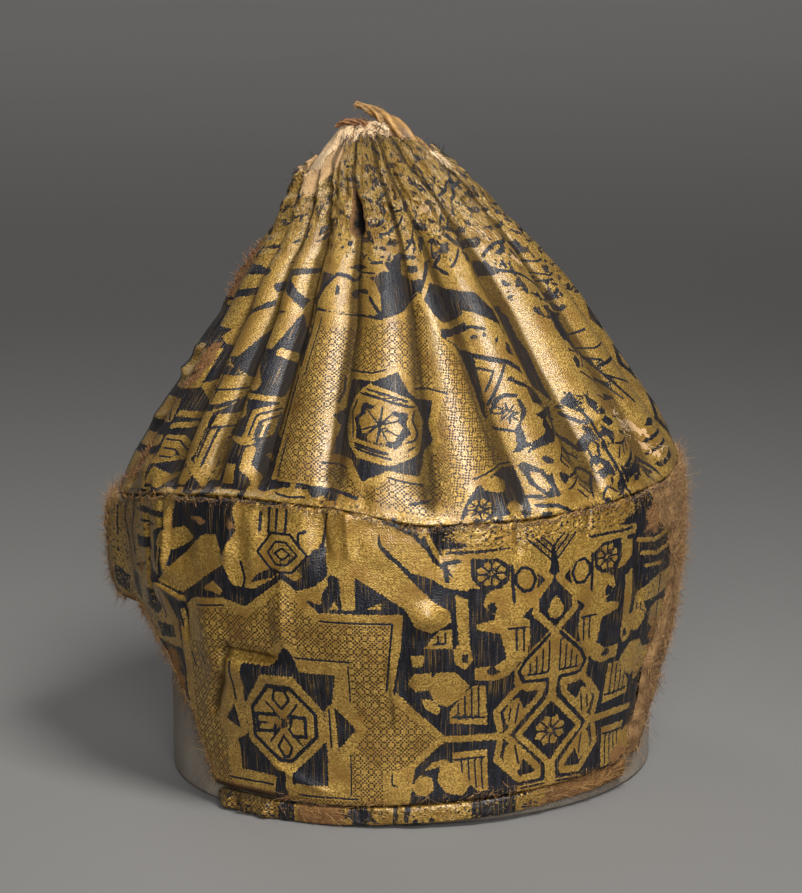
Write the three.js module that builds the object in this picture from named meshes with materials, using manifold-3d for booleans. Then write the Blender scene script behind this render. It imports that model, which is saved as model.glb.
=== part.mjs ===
// A quilted, pointed cloth cap on a plain drum stand.
// Millimetres, +Z up. The front faces -Y. Angles are degrees from the front, growing towards +X.
import * as THREE from "three";
import { mergeVertices } from "three/addons/utils/BufferGeometryUtils.js";
import Module from "manifold-3d";

// Driving dimensions
const GAP = 0.3;
const STAND = { radius: 87, wall: 4, height: 116, edge: 1.5 };
const CROWN = { frontStep: 3.3, backStep: 5, wall: 3, rimWall: 1.2, skirt: 8, tip: 234 };
const BAND = { wall: 3, rows: 8, frontStep: 2.5, step: 4, frontLeft: -84, frontRight: 57 };
const BACK = { right: 100, left: 255, bottom: 55, rows: 4 };
const HEM = { left: -49, right: 56, height: 6.8, thick: 4.6, clear: 0.4, lift: 5, from: -20, step: 4 };
const PAD = { thick: 5.5, lump: 0.9, lumpsAround: 9, lumpsUp: 5 };
const ROLL = { thick: 8.5, bottom: 60, top: 100, right: -84 };
const LINING = { wall: 1.6, steps: [0.94, 1] };
const SLIT = { angle: -17, bottom: 196, top: 209, width: 4, inside: 18, outside: 60 };

// Height of the seam between band and crown, round the cap
const SEAM = [
  { angle: -180, height: 104 },
  { angle: -120, height: 102 },
  { angle: -88, height: 101 },
  { angle: -60, height: 109 },
  { angle: -33, height: 114 },
  { angle: -16, height: 113 },
  { angle: 6, height: 107 },
  { angle: 24, height: 107 },
  { angle: 54, height: 109 },
  { angle: 90, height: 110 },
  { angle: 130, height: 106 },
  { angle: 180, height: 104 },
];

// Crown outline: height, radius, and lean of its centre towards -X
const CROWN_ROWS = [
  { height: 98, radius: 103.0, lean: 0 },
  { height: 104, radius: 101.0, lean: 0 },
  { height: 113, radius: 96.6, lean: 0 },
  { height: 120, radius: 92.2, lean: 0 },
  { height: 128, radius: 87.6, lean: 0 },
  { height: 138, radius: 81.0, lean: 0 },
  { height: 148, radius: 74.6, lean: 0 },
  { height: 158, radius: 68.0, lean: 0 },
  { height: 168, radius: 61.2, lean: 0 },
  { height: 177, radius: 55.4, lean: 1 },
  { height: 187, radius: 48.0, lean: 2 },
  { height: 193, radius: 43.2, lean: 2.5 },
  { height: 200, radius: 37.8, lean: 4 },
  { height: 208, radius: 32.2, lean: 6 },
  { height: 214, radius: 28.0, lean: 8 },
  { height: 219, radius: 23.6, lean: 9.5 },
  { height: 225, radius: 18.0, lean: 10 },
];

// Worn top edge of the crown: share of the way from seam to tip, round the cap
const RIM = [
  { angle: -180, share: 0.89 },
  { angle: -110, share: 0.87 },
  { angle: -80, share: 0.85 },
  { angle: -50, share: 0.85 },
  { angle: -34, share: 0.89 },
  { angle: 0, share: 0.905 },
  { angle: 40, share: 0.905 },
  { angle: 80, share: 0.895 },
  { angle: 180, share: 0.89 },
];

// Rows of the crown's two faces, as shares of the way up to the worn edge
const OUTER_STEPS = [0.04, 0.08, 0.13, 0.21, 0.3, 0.39, 0.49, 0.58, 0.67, 0.75, 0.82, 0.88, 0.94, 1];
const INNER_STEPS = [1, 0.94, 0.88, 0.75, 0.58, 0.39, 0.21, 0.04];

// Bare tip of the lining above the worn edge of the crown
const TIP_ROWS = [
  { share: 0.915, radius: 15.2, lean: 11.6 },
  { share: 0.94, radius: 11.2, lean: 12.4 },
  { share: 0.965, radius: 7.2, lean: 12.9 },
  { share: 0.985, radius: 2.8, lean: 13.4 },
];

// Sewn creases: angle near the tip, angle at the seam, rise of the padded rib up to the next crease
const CREASES = [
  { tip: -86, seam: -80, rise: 3.4 },
  { tip: -67, seam: -58, rise: 5.4 },
  { tip: -51, seam: -46, rise: 5.4 },
  { tip: -37, seam: -32.5, rise: 3.8 },
  { tip: -17, seam: -15, rise: 2.6 },
  { tip: 2, seam: 5, rise: 3.4 },
  { tip: 10, seam: 23, rise: 4.0 },
  { tip: 31, seam: 42, rise: 5.0 },
  { tip: 66, seam: 62, rise: 3.4 },
  { tip: 84, seam: 82, rise: 3.4 },
];
const BACK_CREASES = { count: 9, rise: 3.4 };
const RIB = { straight: 0.85, usual: 16, narrow: 0.6, wide: 1.25, level: 0.78 };

// Outer face of the band: height and radius
const BAND_ROWS = [
  { height: 0, radius: 91.0 },
  { height: 20, radius: 91.6 },
  { height: 35, radius: 93.2 },
  { height: 50, radius: 96.0 },
  { height: 65, radius: 98.6 },
  { height: 80, radius: 100.4 },
  { height: 95, radius: 100.8 },
  { height: 115, radius: 99.6 },
];

// How far the band stands out at its sides
const FLARES = [
  { angle: -96, half: 26, out: 3.0 },
  { angle: 84, half: 30, out: -2.4 },
];

// Lower edge of the front of the band, which rises at both sides
const FRONT_EDGE = [
  { angle: -84, height: 62.5 },
  { angle: -78, height: 63 },
  { angle: -71.5, height: 62 },
  { angle: -66, height: 54.5 },
  { angle: -61.5, height: 48 },
  { angle: -58, height: 39 },
  { angle: -54.5, height: 29 },
  { angle: -52, height: 19 },
  { angle: -49, height: 8 },
  { angle: 56, height: 8 },
  { angle: 62, height: 14 },
  { angle: 66, height: 21.5 },
  { angle: 70, height: 31 },
  { angle: 77.5, height: 42.5 },
  { angle: 88, height: 55 },
  { angle: 100, height: 58 },
];

// Soft dents (below 0) and swells (above 0) in the front of the band, which die away below the seam
const DENTS = [
  { angle: -34, height: 59, wide: 12, tall: 3.5, out: -2.6 },
  { angle: -34, height: 53, wide: 14, tall: 6, out: 1.6 },
  { angle: -16.5, height: 100, wide: 3, tall: 14, out: -1.6 },
  { angle: -20, height: 99, wide: 6, tall: 16, out: 1.0 },
  { angle: -1.5, height: 56, wide: 3.5, tall: 34, out: -1.8 },
  { angle: 3.5, height: 76, wide: 6, tall: 8, out: 2.4 },
  { angle: -35, height: 94, wide: 4, tall: 18, out: -1.8 },
  { angle: -44, height: 62, wide: 6, tall: 26, out: 1.6 },
  { angle: -26, height: 72, wide: 3, tall: 14, out: 1.4 },
  { angle: -10, height: 62, wide: 9, tall: 20, out: 1.0 },
  { angle: 24, height: 60, wide: 14, tall: 30, out: 0.8 },
  { angle: -58, height: 84, wide: 8, tall: 18, out: 1.8 },
  { angle: -50, height: 96, wide: 5, tall: 14, out: -1.6 },
];
const DENT_FADE = { from: 26, to: 15 };

// Frayed strip that curls over the tip: points along its middle, and half thickness
const TUFT = [
  { x: 6.0, y: -7.4, z: 223.6, half: 1.2 },
  { x: 2.7, y: -6.3, z: 225.4, half: 1.9 },
  { x: -2.4, y: -3.7, z: 230.4, half: 2.3 },
  { x: -7.4, y: -1.6, z: 234.4, half: 2.1 },
  { x: -11.6, y: -0.4, z: 236.4, half: 1.6 },
  { x: -16.0, y: 0.5, z: 238.2, half: 0.9 },
];
const TUFT_SIDES = 8;

const CLOTH = { gold: 0x8f6f2c, wool: 0x86603a, cream: 0xcbb08c, stand: 0xb9aa98, fray: 0x9a6f38 };

// Curves through the tables

const wrap = (angle) => ((((angle + 180) % 360) + 360) % 360) - 180;

// Straight-line value of one column of a table at a place in another column
function read(table, column, at, value) {
  const last = table.length - 1;
  if (at <= table[0][column]) return table[0][value];
  for (let i = 0; i < last; i++) {
    const [a, b] = [table[i], table[i + 1]];
    if (at > b[column]) continue;
    return THREE.MathUtils.mapLinear(at, a[column], b[column], a[value], b[value]);
  }
  return table[last][value];
}

// Rounded hump: 1 in the middle, 0 from half widths away
function hump(offset, half) {
  const share = Math.min(1, Math.abs(offset) / half);
  return 0.5 + 0.5 * Math.cos(Math.PI * share);
}

const seamAt = (angle) => read(SEAM, "angle", wrap(angle), "height");

// The front's creases, then evenly spaced ones round the back, with angles growing
function allCreases() {
  const [first, last] = [CREASES[0], CREASES[CREASES.length - 1]];
  const back = Array.from({ length: BACK_CREASES.count }, (_, i) => {
    const share = (i + 1) / (BACK_CREASES.count + 1);
    return {
      tip: THREE.MathUtils.lerp(last.tip, first.tip + 360, share),
      seam: THREE.MathUtils.lerp(last.seam, first.seam + 360, share),
      rise: BACK_CREASES.rise,
    };
  });
  return [...CREASES, ...back];
}

// Columns of the crown: the creases at both sides of a rib, its rise, and the place across it
function crownColumns() {
  const creases = allCreases();
  return creases.flatMap((start, i) => {
    const behind = i + 1 >= CREASES.length;
    const next = i + 1 < creases.length ? creases[i + 1] : { tip: creases[0].tip + 360, seam: creases[0].seam + 360 };
    const count = Math.round((next.seam - start.seam) / (behind ? CROWN.backStep : CROWN.frontStep));
    return Array.from({ length: count }, (_, j) => ({ start, next, across: j / count }));
  });
}
const COLUMNS = crownColumns();

// Angles of the two creases beside a column at a height
function ribEdges({ start, next }, share) {
  const up = THREE.MathUtils.clamp(share / RIB.straight, 0, 1);
  return [start, next].map((crease) => THREE.MathUtils.lerp(crease.seam, crease.tip, up));
}

const columnAngle = (column, share) => THREE.MathUtils.lerp(...ribEdges(column, share), column.across);

// Ribs are rounded between their creases, and die away at the seam and the tip
function ribRise(column, share) {
  const [low, high] = ribEdges(column, share);
  const grown = THREE.MathUtils.smoothstep(share, 0, 0.08) * (1 - 0.45 * THREE.MathUtils.smoothstep(share, 0.6, 0.9));
  const width = THREE.MathUtils.clamp((high - low) / RIB.usual, RIB.narrow, RIB.wide);
  const rounded = (1 - Math.abs(2 * column.across - 1) ** 2.2) ** 0.75;
  return column.start.rise * width * (rounded - RIB.level) * grown;
}

function bandOuter(angle, height) {
  let radius = read(BAND_ROWS, "height", height, "radius");
  const risen = THREE.MathUtils.smoothstep(height, 20, 65);
  for (const flare of FLARES) radius += flare.out * risen * hump(wrap(angle - flare.angle), flare.half);
  const below = seamAt(angle) - height;
  const settled = THREE.MathUtils.smoothstep(below, DENT_FADE.to, DENT_FADE.from);
  for (const dent of DENTS) {
    radius += settled * dent.out * hump(wrap(angle - dent.angle), dent.wide) * hump(height - dent.height, dent.tall);
  }
  return radius;
}

// Point at an angle, radius and height, with the centre moved towards -X
function at(angle, radius, height, lean = 0) {
  const turn = THREE.MathUtils.degToRad(angle);
  return new THREE.Vector3(radius * Math.sin(turn) - lean, -radius * Math.cos(turn), height);
}

function angles(from, to, step) {
  const count = Math.max(1, Math.round(Math.abs(to - from) / step));
  return Array.from({ length: count + 1 }, (_, i) => THREE.MathUtils.lerp(from, to, i / count));
}

// Solids

// Skin over closed sections of equal length. An open run of sections is capped at both ends.
function loft(sections, closed) {
  const size = sections[0].length;
  const index = [];
  const runs = closed ? sections.length : sections.length - 1;
  for (let i = 0; i < runs; i++) {
    const [a, b] = [i * size, ((i + 1) % sections.length) * size];
    for (let j = 0; j < size; j++) {
      const k = (j + 1) % size;
      index.push(a + j, b + j, b + k, a + j, b + k, a + k);
    }
  }
  if (!closed) {
    const end = (sections.length - 1) * size;
    for (let j = 0; j < size / 2 - 1; j++) {
      const [p, q, r, s] = [j, j + 1, size - 2 - j, size - 1 - j];
      index.push(p, q, r, p, r, s);
      index.push(end + p, end + r, end + q, end + p, end + s, end + r);
    }
  }
  const points = sections.flat();
  if (volume(points, index) < 0) index.reverse();
  return new THREE.BufferGeometry().setFromPoints(points).setIndex(index);
}

function volume(points, index) {
  let sum = 0;
  for (let i = 0; i < index.length; i += 3) {
    const [a, b, c] = [points[index[i]], points[index[i + 1]], points[index[i + 2]]];
    sum += a.dot(b.clone().cross(c));
  }
  return sum / 6;
}

const wasm = await Module();
wasm.setup();

function toSolid(geometry) {
  const bare = geometry.clone();
  for (const name of ["normal", "uv"]) bare.deleteAttribute(name);
  const merged = mergeVertices(bare);
  return new wasm.Manifold(
    new wasm.Mesh({
      numProp: 3,
      vertProperties: merged.attributes.position.array,
      triVerts: new Uint32Array(merged.index.array),
    }),
  );
}

function toGeometry(solid) {
  const mesh = solid.getMesh();
  return new THREE.BufferGeometry()
    .setAttribute("position", new THREE.BufferAttribute(mesh.vertProperties, 3))
    .setIndex(new THREE.BufferAttribute(mesh.triVerts, 1));
}

// Crown: a pleated cone of padded cloth whose lower edge tucks inside the band

function crownWall(share) {
  return THREE.MathUtils.lerp(CROWN.wall, CROWN.rimWall, THREE.MathUtils.smoothstep(share, 0.65, 0.88));
}

function crownHeight(angle, share) {
  return THREE.MathUtils.lerp(seamAt(angle), CROWN.tip, share);
}

const rimShare = (column) => read(RIM, "angle", wrap(columnAngle(column, 1)), "share");

// Ring of the crown at a step up to its worn edge, set in from the outer face
function crownRing(step, inset) {
  return COLUMNS.map((column) => {
    const share = step * rimShare(column);
    const angle = columnAngle(column, share);
    const height = crownHeight(angle, share);
    const radius = read(CROWN_ROWS, "height", height, "radius") + ribRise(column, share) - inset(share);
    return at(angle, radius, height, read(CROWN_ROWS, "height", height, "lean"));
  });
}

// Hidden hem of the crown, just inside the band
function skirtRing(drop, inset) {
  return COLUMNS.map((column) => {
    const angle = columnAngle(column, 0);
    const height = seamAt(angle) - drop;
    return at(angle, bandOuter(angle, height) - BAND.wall - GAP - inset, height);
  });
}

function slitCutter() {
  const [middle, half] = [(SLIT.bottom + SLIT.top) / 2, (SLIT.top - SLIT.bottom) / 2];
  const lens = new THREE.Shape();
  lens.moveTo(0, -half);
  lens.quadraticCurveTo(SLIT.width, -half * 0.4, 0, half);
  lens.quadraticCurveTo(-SLIT.width, -half * 0.4, 0, -half);
  const depth = SLIT.outside - SLIT.inside;
  const prism = new THREE.ExtrudeGeometry(lens, { depth, bevelEnabled: false, curveSegments: 5 });
  prism.rotateX(Math.PI / 2);
  prism.translate(0, -SLIT.inside, middle);
  prism.rotateZ(THREE.MathUtils.degToRad(SLIT.angle));
  return prism;
}

function crown() {
  const outer = OUTER_STEPS.map((step) => crownRing(step, () => 0));
  const inner = INNER_STEPS.map((step) => crownRing(step, crownWall));
  const drops = [CROWN.skirt, 0];
  const skirtOuter = drops.map((drop) => skirtRing(drop, 0));
  const skirtInner = drops.map((drop) => skirtRing(drop, CROWN.wall)).reverse();
  const shell = loft([...skirtOuter, ...outer, ...inner, ...skirtInner], true);
  return toGeometry(toSolid(shell).subtract(toSolid(slitCutter())));
}

// Lining: a thin cone inside the crown, bare where it comes out at the tip

function tipRing(row, inset) {
  return COLUMNS.map((column) => {
    const angle = columnAngle(column, 1);
    return at(angle, row.radius - inset, crownHeight(angle, row.share), row.lean);
  });
}

function lining() {
  const under = (share) => crownWall(share) + GAP;
  const [foot, ...hidden] = LINING.steps.map((step) => crownRing(step, under));
  const outer = [foot, ...hidden, ...TIP_ROWS.map((row) => tipRing(row, 0))];
  const inner = [
    tipRing(TIP_ROWS[2], 2 * LINING.wall),
    tipRing(TIP_ROWS[0], 2 * LINING.wall),
    crownRing(LINING.steps[0], (share) => under(share) + LINING.wall),
  ];
  return loft([...inner, ...outer], false);
}

// Band: deep in front, shallow behind, padded where its cloth has worn away at the sides

function wallSection(angle, low, high, rows, inner, outer) {
  const heights = angles(low, high, (high - low) / rows);
  const faces = [
    heights.map((height) => at(angle, outer(angle, height), height)),
    heights.map((height) => at(angle, inner(angle, height), height)).reverse(),
  ];
  return faces.flat();
}

const bandInner = (angle, height) => bandOuter(angle, height) - BAND.wall;

// The hem lifts off the surface towards its right end, and the band sits on it
const hemFoot = (angle) => HEM.clear + HEM.lift * Math.max(0, (angle - HEM.from) / (HEM.right - HEM.from));

function frontEdgeAt(angle) {
  return Math.max(read(FRONT_EDGE, "angle", angle, "height"), hemFoot(angle) + HEM.height + GAP);
}

const bandTop = (angle) => seamAt(angle) - GAP - 0.1;

function bandFront() {
  const places = angles(BAND.frontLeft, BAND.frontRight, BAND.frontStep);
  const section = (angle) => wallSection(angle, frontEdgeAt(angle), bandTop(angle), BAND.rows, bandInner, bandOuter);
  return loft(places.map(section), false);
}

function bandBack() {
  const places = angles(BACK.right, BACK.left, BAND.step);
  const section = (angle) => wallSection(angle, BACK.bottom, bandTop(angle), BACK.rows, bandInner, bandOuter);
  return loft(places.map(section), false);
}

// Lumpy outer face of the bare wadding, easing to the band's own face at its edges
function padOuter(angle, height) {
  const turn = THREE.MathUtils.degToRad(angle);
  const lumps = Math.sin(PAD.lumpsAround * turn) * Math.cos((PAD.lumpsUp * height) / 30);
  return bandInner(angle, height) + PAD.thick + PAD.lump * lumps;
}

const gapAngle = THREE.MathUtils.radToDeg(GAP / STAND.radius);

function waddingRight() {
  const places = angles(BAND.frontRight + gapAngle, BACK.right - gapAngle, BAND.step);
  const section = (angle) => wallSection(angle, frontEdgeAt(angle), bandTop(angle), BAND.rows, bandInner, padOuter);
  return loft(places.map(section), false);
}

// Rolled wadding at the left side, fullest at its middle
function rollOuter(angle, height) {
  const up = (2 * (height - ROLL.bottom)) / (ROLL.top - ROLL.bottom) - 1;
  const full = Math.sqrt(Math.max(0, 1 - up ** 4));
  return bandInner(angle, height) + BAND.wall + (ROLL.thick - BAND.wall) * full;
}

function waddingLeft() {
  const places = angles(BACK.left - 360 + gapAngle, ROLL.right - gapAngle, BAND.step);
  const section = (angle) => {
    const top = Math.min(ROLL.top, bandTop(angle));
    return wallSection(angle, ROLL.bottom, top, BAND.rows, bandInner, rollOuter);
  };
  return loft(places.map(section), false);
}

// Hem: the bound lower edge of the front, on the stand and just clear of the surface
function hem() {
  const inner = STAND.radius + GAP;
  const outline = [
    { out: 0, up: 0.1 },
    { out: 0.45, up: 0 },
    { out: 0.85, up: 0.16 },
    { out: 1, up: 0.5 },
    { out: 0.9, up: 0.84 },
    { out: 0.5, up: 1 },
    { out: 0.12, up: 0.94 },
    { out: 0, up: 0.6 },
  ];
  const section = (angle) =>
    outline.map(({ out, up }) => at(angle, inner + out * HEM.thick, hemFoot(angle) + up * HEM.height));
  return loft(angles(HEM.left, HEM.right, HEM.step).map(section), false);
}

// Tuft: a frayed strip of cloth curling over the tip
function tuft() {
  const spine = new THREE.CatmullRomCurve3(TUFT.map(({ x, y, z }) => new THREE.Vector3(x, y, z)));
  const steps = 3 * (TUFT.length - 1);
  const frames = spine.computeFrenetFrames(steps, false);
  const sections = Array.from({ length: steps + 1 }, (_, i) => {
    const place = (i / steps) * (TUFT.length - 1);
    const low = Math.min(Math.floor(place), TUFT.length - 2);
    const half = THREE.MathUtils.lerp(TUFT[low].half, TUFT[low + 1].half, place - low);
    return Array.from({ length: TUFT_SIDES }, (_, j) => {
      const turn = (2 * Math.PI * j) / TUFT_SIDES;
      return spine
        .getPoint(i / steps)
        .addScaledVector(frames.normals[i], half * Math.cos(turn))
        .addScaledVector(frames.binormals[i], half * Math.sin(turn));
    });
  });
  return loft(sections, false);
}

// Stand: a plain open drum under the crown
function stand() {
  const [outside, inside, edge] = [STAND.radius, STAND.radius - STAND.wall, STAND.edge];
  const profile = [
    new THREE.Vector2(inside, 0),
    new THREE.Vector2(outside - edge, 0),
    new THREE.Vector2(outside, edge),
    new THREE.Vector2(outside, STAND.height - edge),
    new THREE.Vector2(outside - edge, STAND.height),
    new THREE.Vector2(inside, STAND.height),
    new THREE.Vector2(inside, 0),
  ];
  return new THREE.LatheGeometry(profile, 56).rotateX(Math.PI / 2);
}

// Assembly

function piece(name, geometry, color, roughness, metalness = 0) {
  const mesh = new THREE.Mesh(geometry, new THREE.MeshStandardMaterial({ color, roughness, metalness }));
  mesh.name = name;
  return mesh;
}

const cap = new THREE.Group();
cap.add(
  piece("crown", crown(), CLOTH.gold, 0.45, 0.4),
  piece("tip_lining", lining(), CLOTH.cream, 0.85),
  piece("tip_tuft", tuft(), CLOTH.fray, 0.8),
  piece("band_front", bandFront(), CLOTH.gold, 0.5, 0.4),
  piece("band_back", bandBack(), CLOTH.gold, 0.5, 0.4),
  piece("hem", hem(), CLOTH.gold, 0.6, 0.2),
  piece("wadding_right", waddingRight(), CLOTH.wool, 0.95),
  piece("wadding_left", waddingLeft(), CLOTH.wool, 0.95),
  piece("stand", stand(), CLOTH.stand, 0.9),
);

// Origin: the middle of the base of the whole thing's box
const box = new THREE.Box3().setFromObject(cap);
const centre = box.getCenter(new THREE.Vector3());
for (const mesh of cap.children) mesh.geometry.translate(-centre.x, -centre.y, -box.min.z);

export default cap;
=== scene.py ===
# A quilted, pointed cap of gold-figured silk on a plain drum stand.
# Sizes are millimetres until a mesh is made. The front faces -Y, and angles are degrees from the
# front, growing towards +X. The cloth is charted in millimetres: round at SEAM_RADIUS, and up.
import math

import bpy
import numpy as np
from mathutils import Matrix, Vector


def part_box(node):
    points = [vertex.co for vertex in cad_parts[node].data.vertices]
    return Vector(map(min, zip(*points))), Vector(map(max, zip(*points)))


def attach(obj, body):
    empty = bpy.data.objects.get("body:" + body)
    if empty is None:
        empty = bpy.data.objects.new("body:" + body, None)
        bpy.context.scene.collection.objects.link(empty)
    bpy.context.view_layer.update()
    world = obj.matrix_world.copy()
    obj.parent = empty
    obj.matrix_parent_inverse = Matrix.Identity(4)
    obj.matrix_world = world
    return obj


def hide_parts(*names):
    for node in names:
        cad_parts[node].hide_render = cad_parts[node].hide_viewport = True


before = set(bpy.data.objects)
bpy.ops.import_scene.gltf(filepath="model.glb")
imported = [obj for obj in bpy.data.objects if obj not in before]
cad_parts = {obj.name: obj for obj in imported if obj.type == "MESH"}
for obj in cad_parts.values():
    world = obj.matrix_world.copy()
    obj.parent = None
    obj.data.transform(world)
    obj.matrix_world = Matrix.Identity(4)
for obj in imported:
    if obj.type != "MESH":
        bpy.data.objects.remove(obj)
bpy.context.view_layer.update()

MM = 0.001
STAND_LOW, STAND_HIGH = (np.array(corner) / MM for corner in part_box("stand"))
AXIS = (STAND_LOW + STAND_HIGH) / 2
STAND_RADIUS = (STAND_HIGH[0] - STAND_LOW[0]) / 2
STAND_TOP = STAND_HIGH[2]
UPWARD = np.array([0.0, 0.0, 1.0])

# Driving sizes
SEAM_RADIUS = 97.0
SEAM_HEIGHT = 109.0
TIP = 234.0
GAP = 0.3
WALL = 3.0
SKIRT = 8.0
CLOTH_LENGTH = 155.0
HEM = {"left": -49, "right": 56, "height": 6.8, "thick": 4.6, "clear": 0.4, "lift": 5.0, "from": -20}
# Angles over which the folded end of the hem flattens, and over which its right end is worn thin
HEM_FLAT = (-34, -30.5)
HEM_THIN = (22, 32)
FRONT_LEFT = -92
BACK = {"right": 100, "left": 255, "bottom": 55}
ROLL = {"thick": 8.5, "bottom": 60, "top": 100}
SLIT = {"angle": -17, "bottom": 195.5, "top": 211, "half": 2.9, "depth": 9}
# Room for the slit behind the crown's wall: half width in degrees, middle and half height as shares
SLIT_ROOM = {"half": 16, "share": 0.73, "tall": 0.16, "spare": 2}
# How far from the front the torn and worn places of the chart are shown, in degrees
FRONT_REACH = 94

# Meshes: rows on the outer face, on the inner one, and columns. The silk turns in over some rows.
CROWN_MESH = {"rows": 172, "inner_rows": 16, "first": 0.004, "skirt_rows": 2}
# Columns of the crown: angle from, angle to, step
CROWN_COLUMNS = [(-92, 92, 0.55), (92.4, 267.8, 1.1)]
BAND_MESH = {"rows": 180, "inner_rows": 36, "columns": 400, "turned_rows": 4}
BACK_MESH = {"rows": 60, "inner_rows": 8, "columns": 300, "turned_rows": 2, "overlap": 4}
HEM_MESH = {"columns": 340, "sides": 28}
RIGHT_PAD = {"rows": 70, "columns": 90, "end": 101, "tuck": 2, "fibres": 7000}
LEFT_PAD = {"rows": 60, "columns": 40, "left": -107, "right": -88}
PAD_INNER_ROWS = 8
LINING_MESH = {"rows": 60, "inner_rows": 10, "step": 2.0, "low": 0.8, "high": 0.985, "inner_high": 0.97,
               "radius": 25}
STRIP_MESH = {"rings": 60, "sides": 20}
STAND_MESH = {"step": 1.5, "rows": 30, "inner_rows": 6, "edge": 1.5, "edge_rows": 5, "wall": 4}

# Camera: millimetres and degrees. climb is the height of the eye seen from the middle of the base.
VIEW = {"distance": 1250, "climb": 16.6, "pitch": 11.45, "yaw": 0.095, "roll": 1.0,
        "lens": 137, "sensor": 36}

# Height of the seam between band and crown: angle, height
SEAM = [(-180, 104), (-120, 102), (-88, 101), (-60, 109), (-33, 114), (-16, 113), (6, 107),
        (24, 107), (54, 109), (90, 110), (130, 106), (180, 104)]

# Crown: height, radius, lean of the centre towards -X
CROWN_ROWS = [(98, 103.0, 0), (104, 101.0, 0), (113, 96.6, 0), (120, 92.2, 0), (128, 87.6, 0),
              (138, 81.0, 0), (148, 74.6, 0), (158, 68.0, 0), (168, 61.2, 0), (177, 55.4, 1),
              (187, 48.0, 2), (193, 43.2, 2.5), (200, 37.8, 4), (208, 32.2, 6), (214, 28.0, 8),
              (219, 23.6, 9.5), (225, 17.6, 10.4), (229, 11.6, 11.6), (233, 5.0, 12.6)]

# Worn top edge of the crown: angle, share of the way to the tip
RIM = [(-180, 0.89), (-110, 0.87), (-80, 0.85), (-52, 0.855), (-42, 0.9), (-32, 0.94), (0, 0.95),
       (40, 0.945), (60, 0.915), (80, 0.9), (180, 0.89)]

# Sewn-down creases: angle near the tip, angle at the seam, rise of the padded rib to the next crease
CREASES = [(-86, -80, 7.0), (-67, -58, 9.4), (-51, -46, 9.4), (-37, -32.5, 6.4), (-17, -15, 4.6),
           (2, 5, 5.0), (10, 23, 6.0), (31, 42, 6.4), (66, 62, 4.8), (84, 82, 4.4)]
BACK_CREASES = 9
BACK_RISE = 3.4

# Crumpled patches of the crown: angle, share, half width, half height, depth
CRUMPLES = [(52, 0.2, 12, 0.14, 1.5), (-4, 0.72, 30, 0.18, 1.1), (30, 0.62, 14, 0.14, 0.9),
            (-86, 0.3, 18, 0.3, 1.7), (-92, 0.6, 18, 0.3, 1.8)]

# Gathers of the crown as noise: seed, cells round, cells up, rise, more near the tip, more at the
# seam, and whether they are folded sharp
GATHERS = [(3, 60, 4, 0.3, 1.1, 0, False), (14, 60, 17, 0, 2.2, 0, True), (15, 110, 44, 0, 0.8, 0, False),
           (5, 26, 6, 0.7, 0, 0, False), (8, 40, 26, 0.2, 1.5, 0, True), (9, 170, 5, 0, 0, 0.9, False)]
# Small creases of the band as noise: seed, cells round, cells to a millimetre, rise, more under the seam
PUCKERS = [(41, 120, 0.04, 0.15, 0.5), (42, 70, 0.12, 0.45, 0), (43, 190, 0.3, 0.12, 0)]
# Lumps of the wadding as noise: seed, cells round, cells to a millimetre, rise
LUMPS = [(81, 60, 0.12, 0.8), (82, 150, 0.3, 0.5)]

# Outer face of the band: height, radius
BAND_ROWS = [(0, 91.0), (20, 91.6), (35, 93.2), (50, 96.0), (65, 98.6), (80, 100.4), (95, 100.8),
             (115, 99.6)]
# Parts of the band that stand out or in: angle, half width, rise
FLARES = [(-96, 26, 3.0), (84, 30, -2.4)]
# Lower edge of the front of the band: angle, height
FRONT_EDGE = [(-95, 62), (-78, 63), (-71.5, 62), (-66, 54.5), (-61.5, 48), (-58, 39), (-54.5, 29),
              (-52, 19), (-49, 8), (56, 8), (62, 14), (66, 21.5), (70, 31), (73.5, 37), (77.5, 42.5),
              (82.5, 48), (88, 55), (100, 58)]
# Ragged right edge of the front of the band: height, angle
FRONT_RIGHT = [(8, 54), (17, 55.5), (25, 57), (38, 58), (50, 62), (60, 66), (75, 67), (88, 65), (97, 60),
               (104, 57), (110, 56)]
# Heights along that edge: its foot and its length
EDGE_RUN = {"foot": 8, "length": 100}
# Soft dents and swells of the band: angle, height, half width, half height, rise
DENTS = [(-34, 59, 12, 3.5, -2.6), (-34, 53, 14, 6, 1.6), (-16.5, 100, 3, 14, -1.6),
         (-20, 99, 6, 16, 1.0), (-1.5, 56, 3.5, 34, -1.8), (3.5, 76, 6, 8, 2.4), (-35, 94, 4, 18, -1.8),
         (-29, 104, 3, 12, -1.4), (-44, 62, 6, 26, 1.6), (-26, 72, 3, 14, 1.4), (7, 100, 3, 12, -1.4),
         (-10, 62, 9, 20, 1.0), (24, 60, 14, 30, 0.8), (-26, 14, 10, 8, 1.0), (-58, 84, 8, 18, 1.8),
         (-50, 96, 5, 14, -1.6)]

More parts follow.
